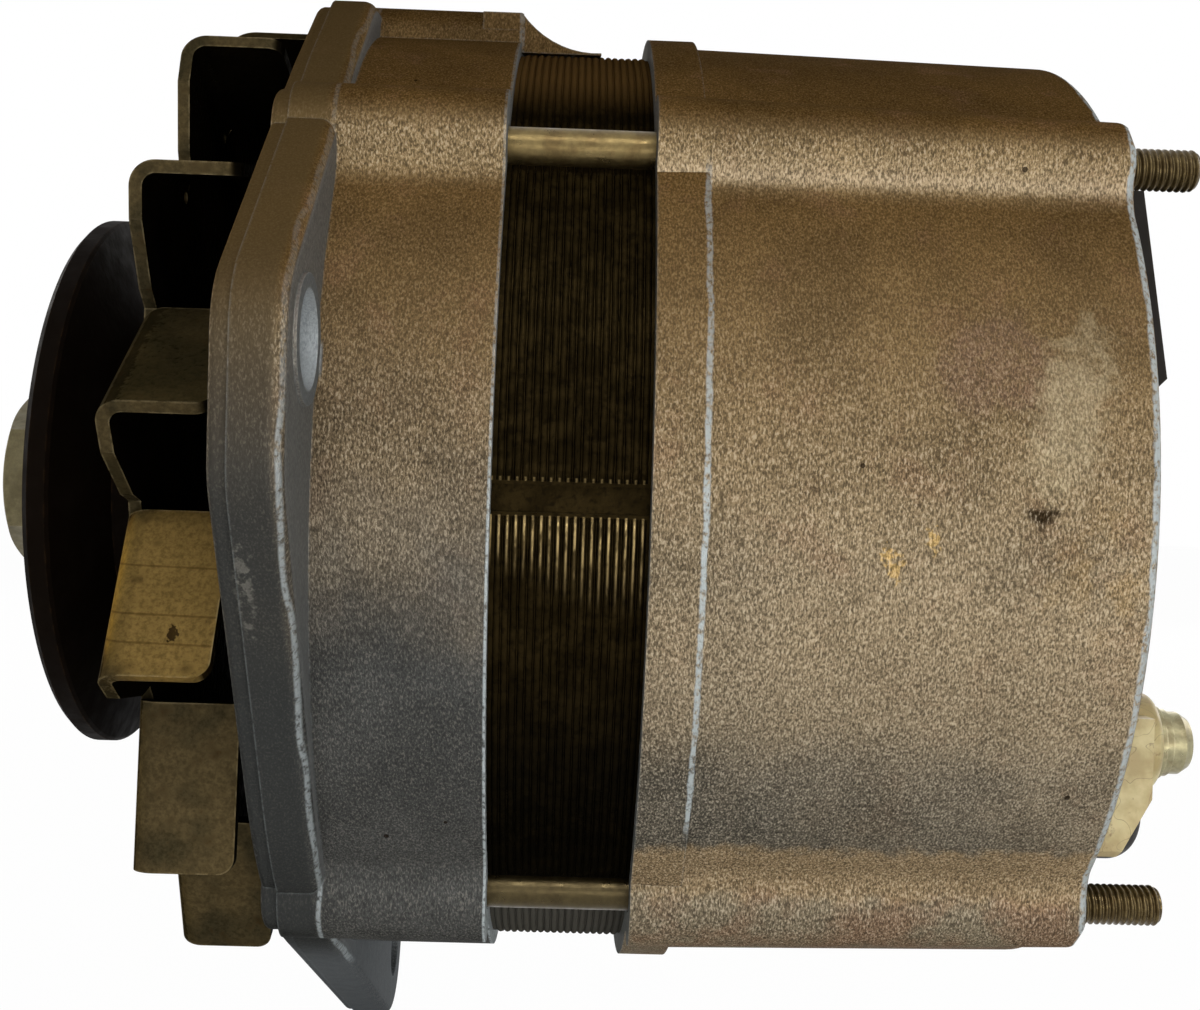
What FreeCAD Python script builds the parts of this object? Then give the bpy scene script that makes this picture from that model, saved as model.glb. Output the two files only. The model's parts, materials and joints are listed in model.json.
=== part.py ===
import FreeCAD, Part
import math
import os

# Belt-driven alternator with an external fan, in millimetres.
# The shaft lies along X: the pulley is at -X and the rear face at +X. +Z is up and -Y is the near side.
# The origin is the centre of the rear stud circle, on the shaft axis, in the plane of the rear face.
# Angles round the shaft are measured from the near side (-Y) towards the top (+Z).

# Clearances
RUNNING_FIT = 0.03
SEAT_FIT = 0.02
BOLT_FIT = 0.05
SLOT_FIT = 0.2
PART_GAP = 0.3

# Stator
STATOR_RADIUS = 63.7
BACK_IRON = 7.7
SLOT_DEPTH = 9.0
STACK_LENGTH = 28.0
REGISTER_DEPTH = 5.3
SLOT_COUNT = 36
SLOT_WIDTH = 4.2
SLOT_LIP = 1.5
OVERHANG_LENGTH = 11.5
OVERHANG_MARGIN = 1.6
OVERHANG_BEVEL = 2.5
OVERHANG_FOOT = 1.0
WELD_GROOVE_DEPTH = 0.5
WELD_GROOVE_WIDTH = 3.0
WELD_GROOVE_ANGLE = -0.4

# Through-bolts
BOLT_COUNT = 4
BOLT_OFFSET = 0.3
BOLT_ANGLE = 40.0
SHANK_RADIUS = 2.3
BOLT_RADIUS = 2.5
STUD_LENGTH = 8.5
LOW_STUD_EXTRA = 1.7
STUD_CHAMFER = 0.6
BOLT_HEAD_RADIUS = 4.2
BOLT_HEAD_HEIGHT = 4.0
BOLT_SINK = 0.5
SOCKET_ACROSS_FLATS = 4.0
BOLT_NOTCH_FIT = 0.4

# Rear housing
REAR_DEPTH = 56.1
WALL_OVER_STATOR = 1.9
REAR_TAPER = 1.0
LIP_STEP = 0.9
LIP_LENGTH = 6.1
CASTING_WALL = 5.4
REAR_WALL = 4.0
REAR_ROUND = 1.6
LOBE_RADIUS = 6.5
LOBE_TAPER = 1.2
LOBE_ROUND = 2.6
LOBE_BLEND = 5.5
REAR_HUB_RADIUS = 22.5
HUB_CAP = 2.2
HUB_RISE = 0.9
REAR_HUB_DRAFT = 0.5
REAR_CAVITY_BEVEL = 3.0
BRUSH_OPENING = 1.0
REAR_WINDOW_INNER = 27.0
WINDOW_MARGIN = 5.2
REAR_WINDOW_ARC = 12.0
REAR_WINDOW_ANGLES = (-6, 165, 185, 205, 225, 245, 265, 285)

# Drive-end housing
FRONT_SKIRT = 19.3
FLANGE_THICKNESS = 7.8
FLANGE_BAND = 2.4
EDGE_LIP = 2.2
EDGE_STEP = 0.9
EDGE_ROUND = 0.9
FLANGE_ROUND = 1.8
END_WALL = 6.0
FRONT_HUB_RADIUS = 34.0
FRONT_HUB_REACH = 8.5
FRONT_HUB_DRAFT = 1.0
FRONT_HUB_FLARE = 1.5
FRONT_CAVITY_BEVEL = 2.0
SPACER_OPENING = 1.5
FRONT_WINDOW_INNER = 37.5
FRONT_WINDOW_ARC = 31.0
FRONT_WINDOW_COUNT = 8
NEAR_LUG_CIRCLE = 72.3
NEAR_LUG_ANGLE = 12.2
NEAR_LUG_RADIUS = 10.3
NEAR_LUG_BORE = 5.25
NEAR_PAD_RADIUS = 6.9
NEAR_PAD_RISE = 0.4
NEAR_SHOULDER_ANGLE = 2.5
NEAR_SHOULDER_DROP = 2.0
LOWER_LUG_CIRCLE = 85.5
LOWER_LUG_ANGLE = -112.0
LOWER_LUG_RADIUS = 11.5
LOWER_LUG_BORE = 5.1
TOP_LUG_CIRCLE = 58.7
TOP_LUG_ANGLE = 68.0
TOP_LUG_RADIUS = 11.5
TOP_BOSS_DEPTH = 3.7
TOP_BOSS_ANGLE = 76.0
TOP_BOSS_RADIUS = 7.6
TOP_TAIL_LENGTH = 11.0
TAIL_EDGE = 0.3
TAIL_SWEEP_START = 0.3
TAIL_SWEEP_RISE = 0.4
TAIL_HALF_WIDTH = 5.7
TOP_HOLE_OFFSET = 2.4
TOP_HOLE_RADIUS = 3.4
TOP_HOLE_DEPTH = 20.0

# Bearings
FRONT_BEARING_BORE = 8.5
FRONT_BEARING_OUTER = 23.5
FRONT_BEARING_WIDTH = 14.0
FRONT_BALL_RADIUS = 4.3
FRONT_BALL_COUNT = 7
REAR_BEARING_BORE = 7.5
REAR_BEARING_OUTER = 17.5
REAR_BEARING_WIDTH = 11.0
REAR_BALL_RADIUS = 2.9
REAR_BALL_COUNT = 8
BEARING_LIP = 2.0
REAR_BEARING_GAP = 0.1
RING_SHARE = 0.26
CAGE_HEIGHT_SHARE = 0.42
CAGE_WIDTH_SHARE = 0.75
RETAINER_THICKNESS = 1.6
RETAINER_WIDTH = 10.0
RETAINER_LAP = 3.0
RETAINER_SCREW_COUNT = 3
RETAINER_HEAD_HEIGHT = 1.1
SCREW_RADIUS = 2.0

# Rotor
AIR_GAP = 0.4
ROTOR_END_GAP = 0.6
POLE_DISC = 11.0
POLE_CORE_RADIUS = 15.0
CLAW_COUNT = 6
CLAW_ROOT_WIDTH = 25.0
CLAW_TIP_WIDTH = 9.0
CLAW_TIP_SETBACK = 2.5
CLAW_ROOT_DEPTH = 12.0
CLAW_TIP_DEPTH = 3.2
CLAW_BEVEL = 3.0
POLE_DISC_LAP = 0.5
COIL_CLEARANCE = 2.1
BOBBIN_WALL = 1.4
BOBBIN_LIP = 0.6
SHAFT_CORE_RADIUS = 9.0
SHAFT_COLLAR_RADIUS = 11.5
SHAFT_SETBACK = 0.5
SHAFT_CHAMFER = 1.2
SHAFT_REAR_GAP = 0.2
SHAFT_REAR_CHAMFER = 0.7

# Slip rings and brushes
SLIP_RING_RADIUS = 14.2
SLIP_RING_BED = 11.5
SLIP_RING_WIDTH = 6.6
SLIP_RING_SPACE = 2.0
SLIP_RING_SETBACK = 2.4
SLIP_RING_RISE = 0.8
BRUSH_LENGTH = 14.0
BRUSH_WIDTH = 7.0
BRUSH_THICKNESS = 5.0
BRUSH_FIT = 0.15
BRUSH_LIFT = 0.05
SPRING_WIRE = 0.35
SPRING_COIL = 1.9
SPRING_TURNS = 4
SPRING_END_GAP = 0.05

# Front drive
FAN_GAP = 5.5
FAN_RADIUS = 66.9
FAN_ROOT_RADIUS = 54.0
FAN_SHEET = 1.5
FAN_BLADES = 14
FAN_FIRST_ANGLE = 58.8
FAN_BLADE_SWEEP = 15.0
FAN_BLADE_HEIGHT = 12.6
FAN_BEND = 1.6
FAN_CORNER = 2.0
TOOTH_TIP_DROP = 4.3
TOOTH_TIP_ARC = 4.6
TOOTH_FLANK_RISE = 1.2
TOOTH_FLANK_ARC = 8.9
TOOTH_ROOT_DROP = 1.9
TOOTH_ROOT_ARC = 9.8
FAN_RELIEF_RADIUS = 0.8
FAN_RELIEF_INSET = 2.6
FAN_RELIEF_TURN = 3.5
SPACER_RADIUS = 14.0
PULLEY_RADIUS = 38.7
PULLEY_REAR_RADIUS = 35.6
PULLEY_WIDTH = 17.5
PULLEY_RIM = 3.4
PULLEY_REAR_RIM = 1.8
PULLEY_EDGE = 0.8
PULLEY_SHARP_EDGE = 0.4
PULLEY_RIM_BAND = 5.0
PULLEY_RECESS_WALL = 2.5
GROOVE_BOTTOM = 25.5
GROOVE_BOTTOM_WIDTH = 4.6
PULLEY_HUB_RADIUS = 16.0
PULLEY_WEB = 5.0
WASHER_THICKNESS = 3.8
WASHER_RADIUS = 13.4
WASHER_BORE_GAP = 0.4
WASHER_SPLIT = 2.4
NUT_ACROSS_FLATS = 24.0
NUT_HEIGHT = 8.7
NUT_CHAMFER_SLOPE = 0.6
NUT_FACE_MARGIN = 0.4
THREAD_RADIUS = 8.0
KEY_WIDTH = 4.0
KEY_HEIGHT = 3.8
KEY_RISE = 1.7
KEY_SETBACK = 3.0

# Rectifier
PLATE_THICKNESS = 3.0
PLATE_INNER = 30.0
PLATE_MARGIN = 4.2
PLATE_STANDOFF = 5.0
POSITIVE_START = -150.0
POSITIVE_SPAN = 138.0
NEGATIVE_SPAN = 85.0
PLATE_GAP_ARC = 5.0
DIODE_RADIUS = 6.4
DIODE_LENGTH = 9.0
DIODE_CROWN = 0.8
DIODE_PITCH = 24.0
POSITIVE_DIODE_ARC = 54.0
NEGATIVE_DIODE_ARC = 45.0
POST_RADIUS = 4.4
POST_INSET = 6.0
POSITIVE_POST_ARCS = (10.0, 98.0)
NEGATIVE_POST_ARCS = (6.0, 79.0)
INSULATOR_THICKNESS = 1.5
CARRIER_THICKNESS = 1.5
CARRIER_MARGIN = 12.0
CARRIER_INSET = 5.0
CARRIER_RIM_GAP = 0.5
SMALL_DIODE_RADIUS = 2.5
SMALL_DIODE_LENGTH = 6.0
LEAD_RADIUS = 1.0
LEAD_INSET = 2.7

# Rear fittings
TERMINAL_Y = -40.0
TERMINAL_Z = -28.7
TERMINAL_SCREW_RADIUS = 2.5
TERMINAL_BLOCK_RISE = 8.9
TERMINAL_BOSS_RADIUS = 6.2
TERMINAL_BOSS_ROUND = 1.3
TERMINAL_WEB_WIDTH = 16.0
TERMINAL_WEB_RISE = 6.5
TERMINAL_WEB_TOP = 4.0
TERMINAL_WEB_FLAT = 5.7
TERMINAL_WEB_DROP = 12.9
TERMINAL_WEB_LIP = 2.6
PLAIN_WASHER_RADIUS = 4.6
PLAIN_WASHER_THICKNESS = 0.8
SPRING_WASHER_RADIUS = 4.2
SPRING_WASHER_THICKNESS = 1.0
SPRING_WASHER_SPLIT = 1.0
SCREW_HEAD_RADIUS = 3.9
SCREW_HEAD_HEIGHT = 2.7
WARNING_TERMINAL_Y = -29.0
WARNING_TERMINAL_Z = -39.5
WARNING_TERMINAL_RADIUS = 6.5
WARNING_TERMINAL_RISE = 11.5
WARNING_TERMINAL_ROUND = 4.0
WARNING_SLOT = (0.5, 2.2)
WARNING_SLOT_DEPTH = 8.0
REGULATOR_HALF_WIDTH = 34.0
REGULATOR_LOW = 15.5
REGULATOR_HIGH = 42.0
REGULATOR_RISE = 12.3
REGULATOR_TOP_RISE = 8.4
REGULATOR_FOOT = 9.0
REGULATOR_BACK = 8.0
REGULATOR_BACK_RISE = 1.3
REGULATOR_GAP = 1.7
REGULATOR_BEVEL = 2.2
EAR_REACH = 8.5
EAR_THICKNESS = 3.5
EAR_ROUND = 3.0
EAR_LOW = 22.0
EAR_HIGH = 34.0
BRUSH_BOX_WALL = 2.2
BRUSH_BOX_CAP = 2.4
BRUSH_BOX_FRONT_WALL = 1.5
BRUSH_BOX_REAR_WALL = 1.0
BRUSH_BOX_CLEARANCE = 1.5
SMALL_HEAD_RADIUS = 3.6
SMALL_HEAD_HEIGHT = 2.6
HEAD_CROWN_SHARE = 0.6
HEAD_TOP_SHARE = 0.82
CROSS_DEPTH_SHARE = 0.45
CROSS_REACH_SHARE = 0.6
CROSS_HALF_WIDTH = 0.45
SCREW_DEPTH = 7.0

# Radii worked out from the sizes above
SLOT_BOTTOM = STATOR_RADIUS - BACK_IRON
STATOR_BORE = SLOT_BOTTOM - SLOT_DEPTH
OVERHANG_INNER = STATOR_BORE + OVERHANG_MARGIN
OVERHANG_OUTER = SLOT_BOTTOM + SLOT_FIT
BOLT_CIRCLE = STATOR_RADIUS + BOLT_OFFSET
WALL_RADIUS = STATOR_RADIUS + WALL_OVER_STATOR
LIP_RADIUS = WALL_RADIUS + LIP_STEP
FLANGE_RADIUS = WALL_RADIUS + FLANGE_BAND
HOUSING_CAVITY = WALL_RADIUS - CASTING_WALL
WINDOW_OUTER = HOUSING_CAVITY - WINDOW_MARGIN
TOP_BOSS_CIRCLE = WALL_RADIUS - TOP_BOSS_DEPTH
TOP_HOLE_CIRCLE = TOP_BOSS_CIRCLE + TOP_HOLE_OFFSET
ROTOR_RADIUS = STATOR_BORE - AIR_GAP
COIL_RADIUS = ROTOR_RADIUS - CLAW_ROOT_DEPTH - COIL_CLEARANCE
PLATE_OUTER = HOUSING_CAVITY - PLATE_MARGIN
DIODE_CIRCLE = (PLATE_INNER + PLATE_OUTER) / 2
POST_CIRCLE = PLATE_OUTER - POST_INSET
LEAD_CIRCLE = OVERHANG_OUTER - LEAD_INSET

# Angles of the rectifier, worked out from the sizes above
NEGATIVE_START = POSITIVE_START - PLATE_GAP_ARC - NEGATIVE_SPAN
POSITIVE_DIODES = POSITIVE_START + POSITIVE_DIODE_ARC
NEGATIVE_DIODES = NEGATIVE_START + NEGATIVE_DIODE_ARC

# Stations along the shaft, worked out from the sizes above
REAR_FACE = 0.0
REAR_INNER = REAR_FACE - REAR_WALL
REAR_MOUTH = REAR_FACE - REAR_DEPTH
STATOR_REAR = REAR_MOUTH + REGISTER_DEPTH
STATOR_FRONT = STATOR_REAR - STACK_LENGTH
FRONT_MOUTH = STATOR_FRONT + REGISTER_DEPTH
FLANGE_REAR = FRONT_MOUTH - FRONT_SKIRT
FLANGE_FRONT = FLANGE_REAR - FLANGE_THICKNESS
END_WALL_INNER = FLANGE_FRONT + END_WALL
FRONT_HUB_FACE = FLANGE_FRONT - FRONT_HUB_REACH
FRONT_BEARING_FRONT = FRONT_HUB_FACE + BEARING_LIP
FRONT_BEARING_REAR = FRONT_BEARING_FRONT + FRONT_BEARING_WIDTH
RETAINER_REAR = FRONT_BEARING_REAR + RETAINER_THICKNESS
FAN_REAR = FRONT_HUB_FACE - FAN_GAP
FAN_FRONT = FAN_REAR - FAN_SHEET
PULLEY_FRONT = FAN_FRONT - PULLEY_WIDTH
WASHER_FRONT = PULLEY_FRONT - WASHER_THICKNESS
NUT_FRONT = WASHER_FRONT - NUT_HEIGHT
SHAFT_FRONT = NUT_FRONT + SHAFT_SETBACK
ROTOR_CENTRE = (STATOR_FRONT + STATOR_REAR) / 2
ROTOR_FRONT = RETAINER_REAR + RETAINER_HEAD_HEIGHT + ROTOR_END_GAP
ROTOR_REAR = 2 * ROTOR_CENTRE - ROTOR_FRONT
CAP_INNER = REAR_FACE + HUB_RISE - HUB_CAP
REAR_BEARING_REAR = CAP_INNER - REAR_BEARING_GAP
REAR_BEARING_FRONT = REAR_BEARING_REAR - REAR_BEARING_WIDTH
SLIP_REAR = REAR_BEARING_FRONT - SLIP_RING_SETBACK
SLIP_FRONT = SLIP_REAR - 2 * SLIP_RING_WIDTH - 3 * SLIP_RING_SPACE
PLATE_REAR = REAR_INNER - PLATE_STANDOFF
PLATE_FRONT = PLATE_REAR - PLATE_THICKNESS
DIODE_FRONT = PLATE_REAR - DIODE_LENGTH
CARRIER_FRONT = DIODE_FRONT - CARRIER_THICKNESS
BRUSH_FOOT = SLIP_RING_RADIUS + BRUSH_LIFT
BRUSH_TOP = BRUSH_FOOT + BRUSH_LENGTH
BOX_ROOF = REGULATOR_HIGH - BRUSH_BOX_CAP

V = FreeCAD.Vector
ORIGIN = V(0, 0, 0)
ALONG = V(1, 0, 0)


def polar(x, radius, angle):
    """Point at a radius from the shaft, at an angle from the near side."""
    turn = math.radians(angle)
    return V(x, -radius * math.cos(turn), radius * math.sin(turn))


def turned(shape, angle):
    """Copy of a shape modelled at the near side, carried round the shaft to an angle."""
    copy = shape.copy()
    copy.rotate(ORIGIN, ALONG, -angle)
    return copy


def round_bar(radius, x0, x1, place=ORIGIN):
    """Cylinder along the shaft direction, centred on a place."""
    return Part.makeCylinder(radius, x1 - x0, V(x0, place.y, place.z), ALONG)


def cone_bar(r0, r1, x0, x1, place=ORIGIN):
    """Cone along the shaft direction, r0 wide at x0 and r1 wide at x1."""
    return Part.makeCone(r0, r1, x1 - x0, V(x0, place.y, place.z), ALONG)


def tube(outer, inner, x0, x1, place=ORIGIN):
    """Ring along the shaft direction."""
    return round_bar(outer, x0, x1, place).cut(round_bar(inner, x0 - 1, x1 + 1, place))


def block(x0, x1, y0, y1, z0, z1):
    """Box between two corners."""
    return Part.makeBox(x1 - x0, y1 - y0, z1 - z0, V(x0, y0, z0))


def spun(profile):
    """Solid of revolution about the shaft, from (station, radius) points."""
    points = [V(x, 0, radius) for x, radius in profile]
    face = Part.Face(Part.makePolygon(points + points[:1]))
    return face.revolve(ORIGIN, ALONG, 360)


def sector(inner, outer, middle, arc, x0, x1):
    """Piece of a ring, arc degrees wide about a middle angle."""
    start = middle - arc / 2
    end = middle + arc / 2
    edges = [
        Part.Arc(polar(x0, outer, start), polar(x0, outer, middle), polar(x0, outer, end)).toShape(),
        Part.makeLine(polar(x0, outer, end), polar(x0, inner, end)),
        Part.Arc(polar(x0, inner, end), polar(x0, inner, middle), polar(x0, inner, start)).toShape(),
        Part.makeLine(polar(x0, inner, start), polar(x0, outer, start)),
    ]
    return Part.Face(Part.Wire(edges)).extrude(V(x1 - x0, 0, 0))


def fused(shapes):
    """One clean solid from several that touch or overlap."""
    shapes = list(shapes)
    return shapes[0].multiFuse(shapes[1:]).removeSplitter()


def group(shapes):
    """Separate solids that share one file."""
    return Part.makeCompound(list(shapes))


def link(first, first_radius, second, second_radius, x0, x1):
    """Two discs joined by their outer tangents, as a plate from x0 to x1."""
    a = V(x0, first.y, first.z)
    b = V(x0, second.y, second.z)
    direction = b.sub(a)
    distance = direction.Length
    if distance + second_radius <= first_radius:
        return round_bar(first_radius, x0, x1, first)
    heading = math.atan2(direction.z, direction.y)
    spread = math.acos((first_radius - second_radius) / distance)
    corners = []
    for centre, radius, side in ((a, first_radius, 1), (b, second_radius, 1), (b, second_radius, -1),
                                 (a, first_radius, -1)):
        normal = heading + side * spread
        corners.append(centre.add(V(0, radius * math.cos(normal), radius * math.sin(normal))))
    web = Part.Face(Part.makePolygon(corners + corners[:1])).extrude(V(x1 - x0, 0, 0))
    return fused([round_bar(first_radius, x0, x1, first), round_bar(second_radius, x0, x1, second), web])


def bolt_places(x=0.0):
    """Centres of the through-bolts."""
    step = 360 / BOLT_COUNT
    return [polar(x, BOLT_CIRCLE, BOLT_ANGLE + step * k) for k in range(BOLT_COUNT)]


def toward(start, goal, distance):
    """Point at a distance from the start on the way to a goal."""
    return start.add(goal.sub(start).normalize() * distance)


def lobed_outline(x, wall, lobe):
    """Round wall outline at a station, with a blended lobe at each bolt."""
    reach = wall + LOBE_BLEND
    spread = math.degrees(math.acos((reach ** 2 + BOLT_CIRCLE ** 2 - (lobe + LOBE_BLEND) ** 2)
                                    / (2 * reach * BOLT_CIRCLE)))
    step = 360 / BOLT_COUNT
    edges = []
    for k in range(BOLT_COUNT):
        middle = BOLT_ANGLE + step * k
        centre = polar(x, BOLT_CIRCLE, middle)
        foot = {}
        shoulder = {}
        for side in (-1, 1):
            blend = polar(x, reach, middle + side * spread)
            foot[side] = polar(x, wall, middle + side * spread)
            shoulder[side] = toward(centre, blend, lobe)
            waist = toward(blend, foot[side].add(shoulder[side]) * 0.5, LOBE_BLEND)
            edges.append(Part.Arc(foot[side], waist, shoulder[side]).toShape())
        edges.append(Part.Arc(shoulder[-1], polar(x, BOLT_CIRCLE + lobe, middle), shoulder[1]).toShape())
        following = polar(x, wall, middle + step - spread)
        edges.append(Part.Arc(foot[1], polar(x, wall, middle + step / 2), following).toShape())
    return Part.Wire(Part.__sortEdges__(edges))


def hexagon(across_flats, x0, x1, place=ORIGIN):
    """Hexagonal bar with one flat facing the near side."""
    reach = across_flats / math.sqrt(3)
    points = []
    for k in range(6):
        corner = polar(x0, reach, 30 + 60 * k)
        points.append(corner.add(V(0, place.y, place.z)))
    return Part.Face(Part.makePolygon(points + points[:1])).extrude(V(x1 - x0, 0, 0))


def rounded(shape, radius, chosen):
    """Fillet on the edges that a test picks out."""
    edges = [edge for edge in shape.Edges if chosen(edge)]
    return shape.makeFillet(radius, edges) if edges else shape


def is_circle(edge, radius, x):
    """True for a circular edge of a given radius at a given station."""
    curve = edge.Curve
    if not isinstance(curve, Part.Circle):
        return False
    return abs(curve.Radius - radius) < 0.01 and abs(curve.Center.x - x) < 0.01


def lies_at(edge, x):
    """True for an edge that lies wholly at a station."""
    box = edge.BoundBox
    return box.XMin > x - 0.01 and box.XMax < x + 0.01


# Castings

def flange_outline(shrink, x0, x1):
    """Flange plate with its lugs, every outline drawn in by shrink."""
    centre = V(0, 0, 0)
    rim = FLANGE_RADIUS - shrink
    near = polar(0, NEAR_LUG_CIRCLE, NEAR_LUG_ANGLE)
    shoulder = polar(0, NEAR_LUG_CIRCLE - NEAR_SHOULDER_DROP, NEAR_SHOULDER_ANGLE)
    lower = polar(0, LOWER_LUG_CIRCLE, LOWER_LUG_ANGLE)
    top = polar(0, TOP_LUG_CIRCLE, TOP_LUG_ANGLE)
    near_radius = NEAR_LUG_RADIUS - shrink
    plates = [
        link(centre, rim, near, near_radius, x0, x1),
        link(centre, rim, shoulder, near_radius, x0, x1),
        link(near, near_radius, shoulder, near_radius, x0, x1),
        link(centre, rim, lower, LOWER_LUG_RADIUS - shrink, x0, x1),
        link(centre, rim, top, TOP_LUG_RADIUS - shrink, x0, x1),
    ]
    for place in bolt_places():
        plates.append(round_bar(LOBE_RADIUS - shrink, x0, x1, place))
    return fused(plates)


def top_boss():
    """Long boss along the top of the front skirt, with a tail that sweeps down over the stator."""
    place = polar(0, TOP_BOSS_CIRCLE, TOP_BOSS_ANGLE)
    boss = round_bar(TOP_BOSS_RADIUS, FLANGE_FRONT + EDGE_LIP, FRONT_MOUTH, place)
    top = TOP_BOSS_CIRCLE + TOP_BOSS_RADIUS
    low = STATOR_RADIUS + PART_GAP
    crest = top - TAIL_EDGE
    foot = low + TAIL_EDGE
    start = FRONT_MOUTH - REGISTER_DEPTH
    tip = FRONT_MOUTH + TOP_TAIL_LENGTH
    middle = V(FRONT_MOUTH + TOP_TAIL_LENGTH * TAIL_SWEEP_START, -(low + (top - low) * TAIL_SWEEP_RISE), 0)
    sweep = Part.Arc(V(FRONT_MOUTH, -crest, 0), middle, V(tip, -foot, 0)).toShape()
    outline = [
        Part.makeLine(V(start, -low, 0), V(start, -crest, 0)),
        Part.makeLine(V(start, -crest, 0), V(FRONT_MOUTH, -crest, 0)),
        sweep,
        Part.makeLine(V(tip, -foot, 0), V(tip, -low, 0)),
        Part.makeLine(V(tip, -low, 0), V(start, -low, 0)),
    ]
    tail = Part.Face(Part.Wire(outline)).extrude(V(0, 0, 2 * TAIL_HALF_WIDTH))
    tail.translate(V(0, 0, -TAIL_HALF_WIDTH))
    tail = tail.cut(round_bar(low, start - 1, tip + 1))
    return boss, turned(tail, TOP_BOSS_ANGLE)


def drive_end_housing():
    """Front casting: skirt, flange with three lugs, end wall with windows, and bearing hub."""
    outline = Part.Face(lobed_outline(FLANGE_FRONT + EDGE_LIP, WALL_RADIUS, LOBE_RADIUS))
    skirt = outline.extrude(V(FRONT_MOUTH - FLANGE_FRONT - EDGE_LIP, 0, 0))
    plate = flange_outline(0, FLANGE_FRONT + EDGE_LIP, FLANGE_REAR)
    plate = rounded(plate, FLANGE_ROUND, lambda edge: lies_at(edge, FLANGE_REAR))
    lip = flange_outline(EDGE_STEP, FLANGE_FRONT, FLANGE_FRONT + EDGE_LIP)
    lip = rounded(lip, EDGE_ROUND, lambda edge: lies_at(edge, FLANGE_FRONT))
    near = polar(0, NEAR_LUG_CIRCLE, NEAR_LUG_ANGLE)
    pad = round_bar(NEAR_PAD_RADIUS, FLANGE_REAR - 1, FLANGE_REAR + NEAR_PAD_RISE, near)
    hub = cone_bar(FRONT_HUB_RADIUS - 2 * FRONT_HUB_DRAFT, FRONT_HUB_RADIUS - FRONT_HUB_DRAFT,
                   FRONT_HUB_FACE, FLANGE_FRONT + 1)
    boss, tail = top_boss()
    body = fused([skirt, plate, lip, hub, boss, pad])
    cavity = spun([
        (FRONT_BEARING_REAR, 0),
        (FRONT_BEARING_REAR, FRONT_HUB_RADIUS),
        (END_WALL_INNER, FRONT_HUB_RADIUS + FRONT_HUB_FLARE),
        (END_WALL_INNER, HOUSING_CAVITY - FRONT_CAVITY_BEVEL),
        (END_WALL_INNER + FRONT_CAVITY_BEVEL, HOUSING_CAVITY),
        (FRONT_MOUTH + 1, HOUSING_CAVITY),
        (FRONT_MOUTH + 1, 0),
    ])
    inner_lobes = [round_bar(LOBE_RADIUS, END_WALL_INNER - 1, STATOR_FRONT, place) for place in bolt_places()]
    body = fused([body.cut(cavity)] + inner_lobes)
    register = STATOR_RADIUS + BOLT_FIT
    body = body.cut(round_bar(register, STATOR_FRONT, FRONT_MOUTH + 1))
    body = fused([body, tail])
    cuts = [
        round_bar(FRONT_BEARING_OUTER + SEAT_FIT, FRONT_BEARING_FRONT, FRONT_BEARING_REAR + 1),
        round_bar(SPACER_RADIUS + SPACER_OPENING, FRONT_HUB_FACE - 1, FRONT_BEARING_FRONT + 1),
    ]
    for k in range(FRONT_WINDOW_COUNT):
        angle = 360 / FRONT_WINDOW_COUNT * (k + 0.5)
        cuts.append(sector(FRONT_WINDOW_INNER, WINDOW_OUTER, angle, FRONT_WINDOW_ARC,
                           FLANGE_FRONT - 1, END_WALL_INNER + 1))
    for place in bolt_places():
        cuts.append(round_bar(BOLT_RADIUS + BOLT_FIT, FLANGE_FRONT - 1, FRONT_MOUTH + 1, place))
        seat = FLANGE_FRONT + BOLT_SINK + BOLT_HEAD_HEIGHT
        cuts.append(round_bar(BOLT_HEAD_RADIUS + PART_GAP, FLANGE_FRONT - 1, seat, place))
    lower = polar(0, LOWER_LUG_CIRCLE, LOWER_LUG_ANGLE)
    top = polar(0, TOP_HOLE_CIRCLE, TOP_BOSS_ANGLE)
    cuts.append(round_bar(NEAR_LUG_BORE, FLANGE_FRONT - 1, FLANGE_REAR + 1, near))
    cuts.append(round_bar(LOWER_LUG_BORE, FLANGE_FRONT - 1, FLANGE_REAR + 1, lower))
    cuts.append(round_bar(TOP_HOLE_RADIUS, FLANGE_FRONT - 1, FLANGE_FRONT + TOP_HOLE_DEPTH, top))
    for place in retainer_screw_places():
        cuts.append(round_bar(SCREW_RADIUS + BOLT_FIT, FRONT_BEARING_REAR - SCREW_DEPTH, FRONT_BEARING_REAR + 1,
                              place))
    return body.cut(group(cuts)).removeSplitter()


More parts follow.
